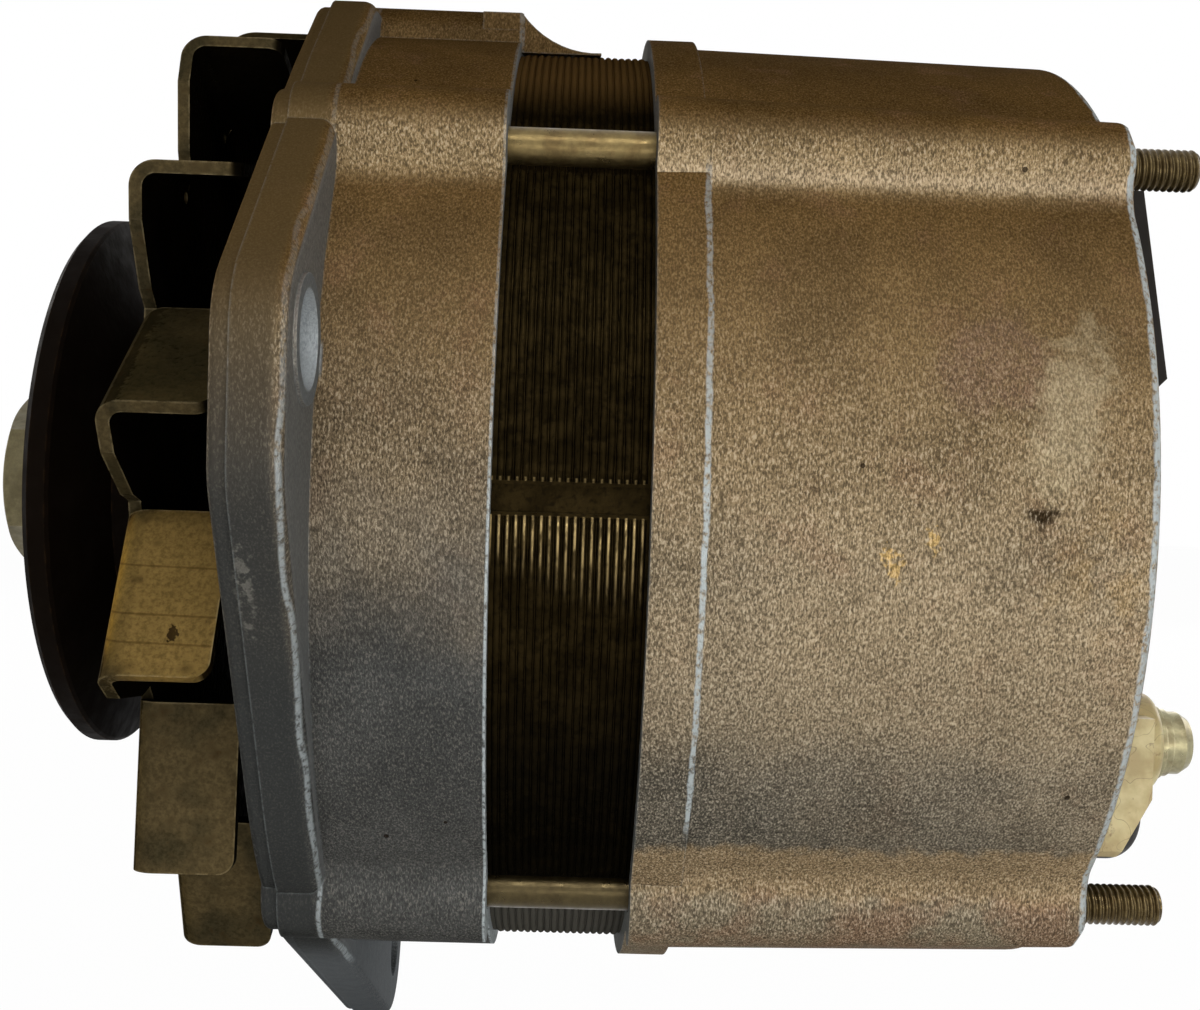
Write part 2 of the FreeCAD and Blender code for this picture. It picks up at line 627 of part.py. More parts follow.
def rear_housing():
    """Rear casting: deep cup with a mouth lip, four full-length bolt lobes, rear wall and bearing hub."""
    lobe_end = LOBE_RADIUS - LOBE_TAPER
    outlines = [lobed_outline(REAR_MOUTH, WALL_RADIUS, LOBE_RADIUS),
                lobed_outline(REAR_FACE, WALL_RADIUS - REAR_TAPER, lobe_end)]
    cup = Part.makeLoft(outlines, True, True)
    cup = rounded(cup, REAR_ROUND, lambda edge: lies_at(edge, REAR_FACE))
    reach = BOLT_CIRCLE + lobe_end + PART_GAP
    envelope = cone_bar(reach + LOBE_TAPER, reach, REAR_MOUTH, REAR_FACE)
    envelope = rounded(envelope, LOBE_ROUND, lambda edge: is_circle(edge, reach, REAR_FACE))
    cup = cup.common(envelope)
    cup = fused([cup, round_bar(LIP_RADIUS, REAR_MOUTH, REAR_MOUTH + LIP_LENGTH)])
    cavity = spun([
        (REAR_MOUTH - 1, 0),
        (REAR_MOUTH - 1, HOUSING_CAVITY),
        (REAR_INNER - REAR_CAVITY_BEVEL, HOUSING_CAVITY - REAR_TAPER),
        (REAR_INNER, HOUSING_CAVITY - REAR_TAPER - REAR_CAVITY_BEVEL),
        (REAR_INNER, 0),
    ])
    shell = cup.cut(cavity)
    lobes = [round_bar(lobe_end, STATOR_REAR, REAR_INNER + 1, place) for place in bolt_places()]
    hub = cone_bar(REAR_HUB_RADIUS, REAR_HUB_RADIUS - REAR_HUB_DRAFT, REAR_BEARING_FRONT - 1,
                   REAR_FACE + HUB_RISE)
    posts = [round_bar(POST_RADIUS, PLATE_REAR, REAR_INNER + 1, place) for place in negative_posts()]
    for place in positive_posts():
        posts.append(round_bar(POST_RADIUS, PLATE_REAR + INSULATOR_THICKNESS, REAR_INNER + 1, place))
    body = fused([shell, hub] + lobes + posts)
    cuts = [
        round_bar(STATOR_RADIUS + BOLT_FIT, REAR_MOUTH - 1, STATOR_REAR),
        round_bar(REAR_BEARING_OUTER + SEAT_FIT, REAR_BEARING_FRONT - 2, CAP_INNER),
    ]
    for angle in REAR_WINDOW_ANGLES:
        cuts.append(sector(REAR_WINDOW_INNER, WINDOW_OUTER, angle, REAR_WINDOW_ARC, REAR_INNER - 1,
                           REAR_FACE + 1))
    for place in bolt_places():
        cuts.append(round_bar(BOLT_RADIUS + BOLT_FIT, REAR_MOUTH - 1, 1, place))
    half = BRUSH_WIDTH / 2 + BRUSH_BOX_WALL + BRUSH_OPENING
    cuts.append(block(REAR_INNER - 1, REAR_FACE + 3, -half, half, REAR_HUB_RADIUS + BRUSH_OPENING,
                      REGULATOR_HIGH - BRUSH_OPENING))
    for place in positive_posts() + negative_posts():
        cuts.append(round_bar(SCREW_RADIUS + BOLT_FIT, PLATE_REAR - 1, REAR_FACE - 1, place))
    for place in regulator_screw_places():
        cuts.append(round_bar(SCREW_RADIUS + BOLT_FIT, REAR_INNER - 1, REAR_FACE + 1, place))
    terminal = V(0, TERMINAL_Y, TERMINAL_Z)
    cuts.append(round_bar(TERMINAL_SCREW_RADIUS + INSULATOR_THICKNESS + BOLT_FIT, REAR_INNER - 1, REAR_FACE + 1,
                          terminal))
    return body.cut(group(cuts)).removeSplitter()


# Stator

def stator_core():
    """Laminated ring with inner slots, bolt notches and weld grooves."""
    core = tube(STATOR_RADIUS, STATOR_BORE, STATOR_FRONT, STATOR_REAR)
    cuts = []
    step = 360 / SLOT_COUNT
    for k in range(SLOT_COUNT):
        slot = block(STATOR_FRONT - 1, STATOR_REAR + 1, -SLOT_BOTTOM, -STATOR_BORE - SLOT_LIP,
                     -SLOT_WIDTH / 2, SLOT_WIDTH / 2)
        mouth = block(STATOR_FRONT - 1, STATOR_REAR + 1, -STATOR_BORE - SLOT_LIP - 0.5, -STATOR_BORE + 1,
                      -SLOT_WIDTH / 4, SLOT_WIDTH / 4)
        cuts.append(turned(fused([slot, mouth]), step * (k + 0.5)))
    for place in bolt_places():
        cuts.append(round_bar(BOLT_RADIUS + BOLT_NOTCH_FIT, STATOR_FRONT - 1, STATOR_REAR + 1, place))
    for k in range(BOLT_COUNT):
        groove = block(STATOR_FRONT - 1, STATOR_REAR + 1, -STATOR_RADIUS - 1, -STATOR_RADIUS + WELD_GROOVE_DEPTH,
                       -WELD_GROOVE_WIDTH / 2, WELD_GROOVE_WIDTH / 2)
        cuts.append(turned(groove, WELD_GROOVE_ANGLE + 90 * k))
    return core.cut(group(cuts))


def stator_windings():
    """Two rounded end bundles joined by a bar in each slot."""
    bevel = OVERHANG_BEVEL
    bundles = []
    for inner_end, outer_end in ((STATOR_FRONT, STATOR_FRONT - OVERHANG_LENGTH),
                                 (STATOR_REAR, STATOR_REAR + OVERHANG_LENGTH)):
        away = 1 if outer_end > inner_end else -1
        near_end = inner_end + away * PART_GAP
        bundles.append(spun([
            (near_end, OVERHANG_INNER),
            (near_end, OVERHANG_OUTER - OVERHANG_FOOT),
            (near_end + away * bevel, OVERHANG_OUTER),
            (outer_end - away * bevel, OVERHANG_OUTER),
            (outer_end, OVERHANG_OUTER - bevel),
            (outer_end, OVERHANG_INNER + bevel),
            (outer_end - away * bevel, OVERHANG_INNER),
        ]))
    half = SLOT_WIDTH / 2 - SLOT_FIT
    step = 360 / SLOT_COUNT
    bar = block(STATOR_FRONT - 1, STATOR_REAR + 1, -SLOT_BOTTOM + SLOT_FIT, -STATOR_BORE - SLOT_LIP - PART_GAP,
                -half, half)
    bars = [turned(bar, step * (k + 0.5)) for k in range(SLOT_COUNT)]
    return fused(bundles + bars)


def stator_leads():
    """Three phase leads from the rear end bundle to the diode carrier."""
    start = STATOR_REAR + OVERHANG_LENGTH
    return group(round_bar(LEAD_RADIUS, start, CARRIER_FRONT, polar(0, LEAD_CIRCLE, angle))
                 for angle in diode_angles(POSITIVE_DIODES))


# Fasteners

def through_bolts():
    """Long bolts from the counterbored flange, whose threaded ends stand out of the rear bosses."""
    bolts = []
    head_front = FLANGE_FRONT + BOLT_SINK
    for place in bolt_places():
        tip = REAR_FACE + STUD_LENGTH + (LOW_STUD_EXTRA if place.z < 0 else 0)
        shank = round_bar(SHANK_RADIUS, head_front + 1, REAR_FACE, place)
        stud = round_bar(BOLT_RADIUS, REAR_FACE, tip - STUD_CHAMFER, place)
        point = cone_bar(BOLT_RADIUS, BOLT_RADIUS - STUD_CHAMFER, tip - STUD_CHAMFER, tip, place)
        head = round_bar(BOLT_HEAD_RADIUS, head_front, head_front + BOLT_HEAD_HEIGHT, place)
        socket = hexagon(SOCKET_ACROSS_FLATS, FLANGE_FRONT, head_front + BOLT_HEAD_HEIGHT / 2, place)
        bolts.append(fused([shank, stud, point, head]).cut(socket))
    return group(bolts)


def retainer_screw_places():
    """Centres of the screws that hold the bearing retainer."""
    circle = FRONT_BEARING_OUTER + RETAINER_WIDTH / 2
    return [polar(0, circle, 30 + 360 / RETAINER_SCREW_COUNT * k) for k in range(RETAINER_SCREW_COUNT)]


def pan_screw(place, seat, tip, away, radius, head_radius, head_height):
    """Screw whose head stands on the seat on the away side (+1 or -1 along the shaft) with a cross slot."""
    head_end = seat + away * head_height
    crown = seat + away * head_height * HEAD_CROWN_SHARE
    head = round_bar(head_radius, min(seat, crown), max(seat, crown), place)
    ends = {crown: head_radius, head_end: head_radius * HEAD_TOP_SHARE}
    low, high = sorted(ends)
    head = fused([head, cone_bar(ends[low], ends[high], low, high, place)])
    slot_depth = head_height * CROSS_DEPTH_SHARE
    slot_low, slot_high = sorted((head_end + away, head_end - away * slot_depth))
    reach = head_radius * CROSS_REACH_SHARE
    for half_y, half_z in ((reach, CROSS_HALF_WIDTH), (CROSS_HALF_WIDTH, reach)):
        head = head.cut(block(slot_low, slot_high, place.y - half_y, place.y + half_y,
                              place.z - half_z, place.z + half_z))
    shank_low, shank_high = sorted((seat + away * PART_GAP, tip))
    return fused([head, round_bar(radius, shank_low, shank_high, place)])


def retainer_screws():
    """Screws of the bearing retainer, with their heads on the rotor side."""
    return group(pan_screw(place, RETAINER_REAR, FRONT_BEARING_REAR - SCREW_DEPTH + PART_GAP, 1, SCREW_RADIUS,
                           SMALL_HEAD_RADIUS, RETAINER_HEAD_HEIGHT) for place in retainer_screw_places())


# Bearings

def bearing_rings(bore, outer, width, front, ball_radius):
    """Inner and outer ring with ball grooves."""
    pitch = (bore + outer) / 2
    share = (outer - bore) * RING_SHARE
    groove = Part.makeTorus(pitch, ball_radius + RUNNING_FIT, V(front + width / 2, 0, 0), ALONG)
    inner = tube(bore + share, bore, front, front + width).cut(groove)
    outside = tube(outer, outer - share, front, front + width).cut(groove)
    return inner, outside


def ball_set(bore, outer, width, front, ball_radius, count):
    """Balls held in a ring cage."""
    pitch = (bore + outer) / 2
    middle = front + width / 2
    height = ball_radius * CAGE_HEIGHT_SHARE
    half = ball_radius * CAGE_WIDTH_SHARE
    ring = tube(pitch + height, pitch - height, middle - half, middle + half)
    balls = []
    for k in range(count):
        place = polar(middle, pitch, 360 / count * k)
        balls.append(Part.makeSphere(ball_radius, place))
    return fused([ring] + balls)


def bearing_retainer():
    """Plate that clamps the front bearing's outer ring in its hub."""
    plate = tube(FRONT_BEARING_OUTER + RETAINER_WIDTH, FRONT_BEARING_OUTER - RETAINER_LAP, FRONT_BEARING_REAR,
                 RETAINER_REAR)
    holes = [round_bar(SCREW_RADIUS + BOLT_FIT, FRONT_BEARING_REAR - 1, RETAINER_REAR + 1, place)
             for place in retainer_screw_places()]
    return plate.cut(group(holes))


# Rotor

def rotor_shaft():
    """Stepped shaft with a keyway, a rotor seat, a slip-ring seat and a threaded front end."""
    bore = FRONT_BEARING_BORE - SEAT_FIT
    rear_end = REAR_BEARING_REAR - SHAFT_REAR_GAP
    rear_seat = REAR_BEARING_BORE - SEAT_FIT
    shaft = spun([
        (SHAFT_FRONT, 0),
        (SHAFT_FRONT, THREAD_RADIUS - SHAFT_CHAMFER),
        (SHAFT_FRONT + SHAFT_CHAMFER, THREAD_RADIUS),
        (PULLEY_FRONT + 1, THREAD_RADIUS),
        (PULLEY_FRONT + 1, bore),
        (FRONT_BEARING_REAR, bore),
        (FRONT_BEARING_REAR, SHAFT_COLLAR_RADIUS),
        (ROTOR_FRONT, SHAFT_COLLAR_RADIUS),
        (ROTOR_FRONT, SHAFT_CORE_RADIUS),
        (ROTOR_REAR + 1, SHAFT_CORE_RADIUS),
        (ROTOR_REAR + 2, rear_seat),
        (rear_end - SHAFT_REAR_CHAMFER, rear_seat),
        (rear_end, rear_seat - SHAFT_REAR_CHAMFER),
        (rear_end, 0),
    ])
    return shaft.cut(key_space(0.0))


def key_space(gap):
    """Space of the drive key, grown by a gap."""
    top = FRONT_BEARING_BORE + KEY_RISE
    half = KEY_WIDTH / 2 + gap
    return block(PULLEY_FRONT + KEY_SETBACK - gap, FAN_REAR - 1 + gap, -half, half, top - KEY_HEIGHT - gap, top + gap)


def shaft_key():
    """Key that drives the pulley and the fan."""
    return key_space(-SEAT_FIT)


def claw(root_x, tip_x):
    """One tapered claw at the near side, from the pole disc at root_x to the free tip at tip_x."""
    shell = spun([
        (root_x, ROTOR_RADIUS - CLAW_ROOT_DEPTH),
        (root_x, ROTOR_RADIUS),
        (tip_x, ROTOR_RADIUS),
        (tip_x, ROTOR_RADIUS - CLAW_TIP_DEPTH),
    ])
    outline = [
        V(root_x, 0, -CLAW_ROOT_WIDTH / 2),
        V(tip_x, 0, -CLAW_TIP_WIDTH / 2),
        V(tip_x, 0, CLAW_TIP_WIDTH / 2),
        V(root_x, 0, CLAW_ROOT_WIDTH / 2),
    ]
    wedge = Part.Face(Part.makePolygon(outline + outline[:1])).extrude(V(0, -ROTOR_RADIUS - 1, 0))
    return shell.common(wedge)


def claw_pole(outer_x, middle_x, other_end, phase):
    """Half of the claw-pole rotor: a disc with its share of the core and six claws."""
    away = 1 if middle_x > outer_x else -1
    disc_inner = outer_x + away * POLE_DISC
    tip_x = other_end - away * CLAW_TIP_SETBACK
    low, high = sorted((outer_x, disc_inner))
    core_low, core_high = sorted((outer_x, middle_x))
    pieces = [
        round_bar(ROTOR_RADIUS - CLAW_ROOT_DEPTH + POLE_DISC_LAP, low, high),
        round_bar(POLE_CORE_RADIUS, core_low, core_high),
    ]
    arm = claw(disc_inner - away * 0.01, tip_x)
    foot = block(low, high, -ROTOR_RADIUS - 1, 0, -CLAW_ROOT_WIDTH / 2, CLAW_ROOT_WIDTH / 2)
    rim = tube(ROTOR_RADIUS, POLE_CORE_RADIUS, low, high)
    bevel = spun([
        (outer_x, ROTOR_RADIUS - CLAW_BEVEL),
        (outer_x, ROTOR_RADIUS + 1),
        (outer_x + away * (CLAW_BEVEL + 1), ROTOR_RADIUS + 1),
    ])
    foot = foot.common(rim).cut(bevel)
    step = 360 / CLAW_COUNT
    for k in range(CLAW_COUNT):
        pieces.append(turned(arm, phase + step * k))
        pieces.append(turned(foot, phase + step * k))
    return fused(pieces).cut(round_bar(SHAFT_CORE_RADIUS + SEAT_FIT, ROTOR_FRONT - 1, ROTOR_REAR + 1))


def coil_bobbin():
    """Plastic former between the pole discs."""
    front = ROTOR_FRONT + POLE_DISC + SEAT_FIT
    rear = ROTOR_REAR - POLE_DISC - SEAT_FIT
    inner = POLE_CORE_RADIUS + SEAT_FIT
    tray = tube(inner + BOBBIN_WALL, inner, front, rear)
    cheeks = [tube(COIL_RADIUS + BOBBIN_LIP, inner, front, front + BOBBIN_WALL),
              tube(COIL_RADIUS + BOBBIN_LIP, inner, rear - BOBBIN_WALL, rear)]
    return fused([tray] + cheeks)


def field_coil():
    """Wound field coil inside the bobbin."""
    front = ROTOR_FRONT + POLE_DISC + BOBBIN_WALL + 2 * SEAT_FIT
    rear = ROTOR_REAR - POLE_DISC - BOBBIN_WALL - 2 * SEAT_FIT
    return tube(COIL_RADIUS, POLE_CORE_RADIUS + BOBBIN_WALL + 2 * SEAT_FIT, front, rear)


def slip_ring_front(k):
    """Front face of slip ring k, counted from the rotor."""
    return SLIP_FRONT + SLIP_RING_SPACE + k * (SLIP_RING_WIDTH + SLIP_RING_SPACE)


def slip_ring(k):
    """One copper slip ring."""
    front = slip_ring_front(k)
    return tube(SLIP_RING_RADIUS, SLIP_RING_BED, front, front + SLIP_RING_WIDTH)


def slip_ring_insulator():
    """Moulded sleeve that carries the slip rings on the shaft."""
    sleeve = tube(SLIP_RING_RADIUS - SLIP_RING_RISE, REAR_BEARING_BORE, SLIP_FRONT, SLIP_REAR)
    return sleeve.cut(group(slip_ring_bed(k) for k in range(2)))


def slip_ring_bed(k):
    """Groove of the sleeve that holds slip ring k."""
    front = slip_ring_front(k)
    return tube(SLIP_RING_RADIUS + 1, SLIP_RING_BED, front, front + SLIP_RING_WIDTH)


# Fan and drive

def fan_corner(k):
    """Outer end of blade k's bend line, and the inner end, as angles."""
    outer = FAN_FIRST_ANGLE - 360 / FAN_BLADES * k
    return outer, outer + FAN_BLADE_SWEEP


def fan_disc():
    """Flat disc whose rim is cut into ratchet-shaped teeth, one for each blade."""
    step = 360 / FAN_BLADES
    points = []
    inset = FAN_BEND + FAN_SHEET
    for k in range(FAN_BLADES):
        outer, inner = fan_corner(k)
        a = polar(0, FAN_RADIUS, outer)
        b = polar(0, FAN_ROOT_RADIUS, inner)
        along = b.sub(a).normalize()
        inward = V(0, -along.z, along.y)
        if inward.dot(a) > 0:
            inward = inward.negative()
        points.append(a.add(inward * inset))
        points.append(b.add(inward * inset))
        points.append(polar(0, FAN_ROOT_RADIUS - TOOTH_ROOT_DROP, outer + step - TOOTH_ROOT_ARC))
        points.append(polar(0, FAN_ROOT_RADIUS + TOOTH_FLANK_RISE, outer + step - TOOTH_FLANK_ARC))
        points.append(polar(0, FAN_RADIUS - TOOTH_TIP_DROP, outer + step - TOOTH_TIP_ARC))
    ordered = sorted(points, key=lambda p: math.atan2(p.z, -p.y))
    outline = Part.makePolygon(ordered + ordered[:1])
    outline.translate(V(FAN_FRONT, 0, 0))
    return Part.Face(outline).extrude(V(FAN_SHEET, 0, 0))


def fan_blade(k):
    """Blade k: a strip bent square towards the housing along its bend line."""
    outer, inner = fan_corner(k)
    a = polar(0, FAN_RADIUS, outer)
    b = polar(0, FAN_ROOT_RADIUS, inner)
    along = b.sub(a)
    length = along.Length
    along.normalize()
    inward = V(0, -along.z, along.y)
    if inward.dot(a) > 0:
        inward = inward.negative()
    bend = FAN_BEND + FAN_SHEET
    tip = FAN_FRONT + FAN_BLADE_HEIGHT

    def at(x, depth):
        return V(x, a.y + inward.y * depth, a.z + inward.z * depth)

    turn = math.sqrt(0.5)
    outer_arc = Part.Arc(at(FAN_FRONT, bend), at(FAN_FRONT + bend * (1 - turn), bend * (1 - turn)),
                         at(FAN_FRONT + bend, 0)).toShape()
    inner_arc = Part.Arc(at(FAN_FRONT + bend, FAN_SHEET),
                         at(FAN_FRONT + bend - FAN_BEND * turn, bend - FAN_BEND * turn),
                         at(FAN_FRONT + FAN_SHEET, bend)).toShape()
    edges = [
        Part.makeLine(at(FAN_FRONT, bend + 1), at(FAN_FRONT, bend)),
        outer_arc,
        Part.makeLine(at(FAN_FRONT + bend, 0), at(tip, 0)),
        Part.makeLine(at(tip, 0), at(tip, FAN_SHEET)),
        Part.makeLine(at(tip, FAN_SHEET), at(FAN_FRONT + bend, FAN_SHEET)),
        inner_arc,
        Part.makeLine(at(FAN_FRONT + FAN_SHEET, bend), at(FAN_FRONT + FAN_SHEET, bend + 1)),
        Part.makeLine(at(FAN_FRONT + FAN_SHEET, bend + 1), at(FAN_FRONT, bend + 1)),
    ]
    strip = Part.Face(Part.Wire(edges)).extrude(along * length)
    return rounded(strip, FAN_CORNER, lambda edge: is_blade_corner(edge, a, tip))


def is_blade_corner(edge, outer_end, tip):
    """True for the short sheet edge at the blade's free outer corner."""
    middle = edge.CenterOfMass
    flat = math.hypot(middle.y - outer_end.y, middle.z - outer_end.z) < FAN_SHEET
    return flat and abs(middle.x - tip) < 0.01 and edge.Length < FAN_SHEET + 0.01


def fan():
    """Stamped sheet fan with blades bent up out of its rim."""
    disc = fan_disc()
    blades = [fan_blade(k) for k in range(FAN_BLADES)]
    body = fused([disc] + blades)
    bore = FRONT_BEARING_BORE + SEAT_FIT
    cuts = [round_bar(bore, FAN_FRONT - 1, FAN_REAR + 1), key_space(SEAT_FIT)]
    for k in range(FAN_BLADES):
        outer, inner = fan_corner(k)
        place = polar(0, FAN_ROOT_RADIUS - FAN_RELIEF_INSET, inner - FAN_RELIEF_TURN)
        cuts.append(round_bar(FAN_RELIEF_RADIUS, FAN_FRONT - 1, FAN_REAR + 1, place))
    return body.cut(group(cuts))


def fan_spacer():
    """Turned spacer between the front bearing's inner ring and the fan."""
    return tube(SPACER_RADIUS, FRONT_BEARING_BORE + SEAT_FIT, FAN_REAR, FRONT_BEARING_FRONT)


def pulley():
    """Turned V-belt pulley with a thick front flange and a recessed front face."""
    front_flank = PULLEY_FRONT + PULLEY_RIM
    rear_flank = FAN_FRONT - PULLEY_REAR_RIM
    middle = (front_flank + rear_flank) / 2
    half = GROOVE_BOTTOM_WIDTH / 2
    body = spun([
        (PULLEY_FRONT, 0),
        (PULLEY_FRONT, PULLEY_RADIUS - PULLEY_EDGE),
        (PULLEY_FRONT + PULLEY_EDGE, PULLEY_RADIUS),
        (front_flank - PULLEY_SHARP_EDGE, PULLEY_RADIUS),
        (front_flank, PULLEY_RADIUS - PULLEY_SHARP_EDGE),
        (middle - half, GROOVE_BOTTOM),
        (middle + half, GROOVE_BOTTOM),
        (rear_flank, PULLEY_REAR_RADIUS - PULLEY_SHARP_EDGE),
        (rear_flank + PULLEY_SHARP_EDGE, PULLEY_REAR_RADIUS),
        (FAN_FRONT, PULLEY_REAR_RADIUS),
        (FAN_FRONT, 0),
    ])
    recess_outer = GROOVE_BOTTOM - PULLEY_RECESS_WALL
    recess = spun([
        (PULLEY_FRONT - 1, PULLEY_HUB_RADIUS),
        (PULLEY_FRONT - 1, PULLEY_RADIUS - PULLEY_RIM_BAND),
        (PULLEY_FRONT, PULLEY_RADIUS - PULLEY_RIM_BAND),
        (PULLEY_FRONT + PULLEY_WEB, recess_outer),
        (PULLEY_FRONT + PULLEY_WEB, PULLEY_HUB_RADIUS),
    ])
    cuts = [recess, round_bar(FRONT_BEARING_BORE + SEAT_FIT, PULLEY_FRONT - 1, FAN_FRONT + 1), key_space(SEAT_FIT)]
    return body.cut(group(cuts))


def pulley_washer():
    """Split spring washer under the nut."""
    ring = tube(WASHER_RADIUS, THREAD_RADIUS + WASHER_BORE_GAP, WASHER_FRONT, PULLEY_FRONT)
    gap = block(WASHER_FRONT - 1, PULLEY_FRONT + 1, -WASHER_SPLIT / 2, WASHER_SPLIT / 2, THREAD_RADIUS - 1,
                WASHER_RADIUS + 1)
    return ring.cut(gap)


def pulley_nut():
    """Hexagon nut with both ends chamfered."""
    body = hexagon(NUT_ACROSS_FLATS, NUT_FRONT, WASHER_FRONT)
    corner = NUT_ACROSS_FLATS / math.sqrt(3)
    slope = (corner - NUT_ACROSS_FLATS / 2) * NUT_CHAMFER_SLOPE
    envelope = spun([
        (NUT_FRONT, 0),
        (NUT_FRONT, NUT_ACROSS_FLATS / 2 - NUT_FACE_MARGIN),
        (NUT_FRONT + slope, corner + 0.1),
        (WASHER_FRONT - slope, corner + 0.1),
        (WASHER_FRONT, NUT_ACROSS_FLATS / 2 - NUT_FACE_MARGIN),
        (WASHER_FRONT, 0),
    ])
    return body.common(envelope).cut(round_bar(THREAD_RADIUS + SEAT_FIT, NUT_FRONT - 1, WASHER_FRONT + 1))


# Rectifier

def positive_posts():
    """Centres of the insulated posts."""
    return [polar(0, POST_CIRCLE, POSITIVE_START + arc) for arc in POSITIVE_POST_ARCS]


def negative_posts():
    """Centres of the posts that earth the negative plate."""
    return [polar(0, POST_CIRCLE, NEGATIVE_START + arc) for arc in NEGATIVE_POST_ARCS]


def diode_angles(middle):
    """Angles of the three diodes of one plate."""
    return [middle + DIODE_PITCH * k for k in (-1, 0, 1)]


def heat_sink(start, span, diode_middle, holes):
    """Curved plate with three press-fitted diodes and its screw holes."""
    plate = sector(PLATE_INNER, PLATE_OUTER, start + span / 2, span, PLATE_FRONT, PLATE_REAR)
    cuts = [round_bar(DIODE_RADIUS + SEAT_FIT, PLATE_FRONT - 1, PLATE_REAR + 1, polar(0, DIODE_CIRCLE, angle))
            for angle in diode_angles(diode_middle)]
    for place, radius in holes:
        cuts.append(round_bar(radius, PLATE_FRONT - 1, PLATE_REAR + 1, place))
    return plate.cut(group(cuts))


def positive_heat_sink():
    """Insulated plate that feeds the main terminal."""
    holes = [(place, SCREW_RADIUS + BOLT_FIT) for place in positive_posts()]
    holes.append((V(0, TERMINAL_Y, TERMINAL_Z), TERMINAL_SCREW_RADIUS + BOLT_FIT))
    return heat_sink(POSITIVE_START, POSITIVE_SPAN, POSITIVE_DIODES, holes)


def negative_heat_sink():
    """Plate screwed straight to the rear housing."""
    holes = [(place, SCREW_RADIUS + BOLT_FIT) for place in negative_posts()]
    return heat_sink(NEGATIVE_START, NEGATIVE_SPAN, NEGATIVE_DIODES, holes)


def power_diodes():
    """Six button diodes pressed into the plates."""
    diodes = []
    for angle in diode_angles(POSITIVE_DIODES) + diode_angles(NEGATIVE_DIODES):
        place = polar(0, DIODE_CIRCLE, angle)
        cup = round_bar(DIODE_RADIUS, DIODE_FRONT + DIODE_CROWN, PLATE_REAR, place)
        crown = cone_bar(DIODE_RADIUS - DIODE_CROWN, DIODE_RADIUS, DIODE_FRONT, DIODE_FRONT + DIODE_CROWN, place)
        diodes.append(fused([cup, crown]))
    return group(diodes)


def diode_carrier():
    """Plastic arc that lies on the positive diodes and carries the exciter diodes."""
    arc = 2 * DIODE_PITCH + 2 * CARRIER_MARGIN
    return sector(PLATE_INNER + CARRIER_INSET, PLATE_OUTER - CARRIER_RIM_GAP, POSITIVE_DIODES, arc, CARRIER_FRONT,
                  DIODE_FRONT)


def exciter_diodes():
    """Three small field diodes on the carrier."""
    return group(round_bar(SMALL_DIODE_RADIUS, CARRIER_FRONT - SMALL_DIODE_LENGTH, CARRIER_FRONT,
                           polar(0, DIODE_CIRCLE, angle)) for angle in diode_angles(POSITIVE_DIODES))


def rectifier_insulators():
    """Insulating washers under the positive plate."""
    return group(tube(POST_RADIUS, SCREW_RADIUS + BOLT_FIT, PLATE_REAR, PLATE_REAR + INSULATOR_THICKNESS, place)
                 for place in positive_posts())


def rectifier_screws():
    """Screws that hold both plates to the posts."""
    return group(pan_screw(place, PLATE_FRONT, REAR_INNER + 1, -1, SCREW_RADIUS, SMALL_HEAD_RADIUS,
                           SMALL_HEAD_HEIGHT) for place in positive_posts() + negative_posts())


# Rear fittings

def terminal_block():
    """Moulded block: a round boss under the main terminal and a web that slopes down to the rim."""
    place = V(0, TERMINAL_Y, TERMINAL_Z)
    top = TERMINAL_Z + TERMINAL_WEB_TOP
    drop = TERMINAL_Z - TERMINAL_WEB_DROP
    high = REAR_FACE + TERMINAL_WEB_RISE
    outline = [
        V(REAR_FACE, 0, top),
        V(high, 0, top),
        V(high, 0, TERMINAL_Z - TERMINAL_WEB_FLAT),
        V(REAR_FACE + TERMINAL_WEB_LIP, 0, drop),
        V(REAR_FACE, 0, drop),
    ]
    web = Part.Face(Part.makePolygon(outline + outline[:1])).extrude(V(0, TERMINAL_WEB_WIDTH, 0))
    web.translate(V(0, TERMINAL_Y - TERMINAL_WEB_WIDTH / 2, 0))
    web = web.common(round_bar(WALL_RADIUS - REAR_TAPER - REAR_ROUND, REAR_FACE, high + 1))
    seat = REAR_FACE + TERMINAL_BLOCK_RISE
    boss = round_bar(TERMINAL_BOSS_RADIUS, REAR_FACE, seat, place)
    boss = rounded(boss, TERMINAL_BOSS_ROUND, lambda edge: is_circle(edge, TERMINAL_BOSS_RADIUS, seat))
    sleeve = round_bar(TERMINAL_SCREW_RADIUS + INSULATOR_THICKNESS, PLATE_REAR, REAR_FACE + 1, place)
    body = fused([web, boss, sleeve])
    cuts = [round_bar(TERMINAL_SCREW_RADIUS + BOLT_FIT, PLATE_REAR - 1, seat + 1, place)]
    cuts.append(round_bar(WARNING_TERMINAL_RADIUS + PART_GAP, REAR_FACE - 1, seat + 1,
                          V(0, WARNING_TERMINAL_Y, WARNING_TERMINAL_Z)))
    return body.cut(group(cuts))


def terminal_washers():
    """Plain washer and split spring washer of the main terminal."""
    place = V(0, TERMINAL_Y, TERMINAL_Z)
    seat = REAR_FACE + TERMINAL_BLOCK_RISE
    bore = TERMINAL_SCREW_RADIUS + BOLT_FIT
    plain = tube(PLAIN_WASHER_RADIUS, bore, seat, seat + PLAIN_WASHER_THICKNESS, place)
    top = seat + PLAIN_WASHER_THICKNESS + SPRING_WASHER_THICKNESS
    spring = tube(SPRING_WASHER_RADIUS, bore, seat + PLAIN_WASHER_THICKNESS, top, place)
    half = SPRING_WASHER_SPLIT / 2
    split = block(seat + PLAIN_WASHER_THICKNESS, top, TERMINAL_Y, TERMINAL_Y + SPRING_WASHER_RADIUS + 1,
                  TERMINAL_Z - half, TERMINAL_Z + half)
    return group([plain, spring.cut(split)])


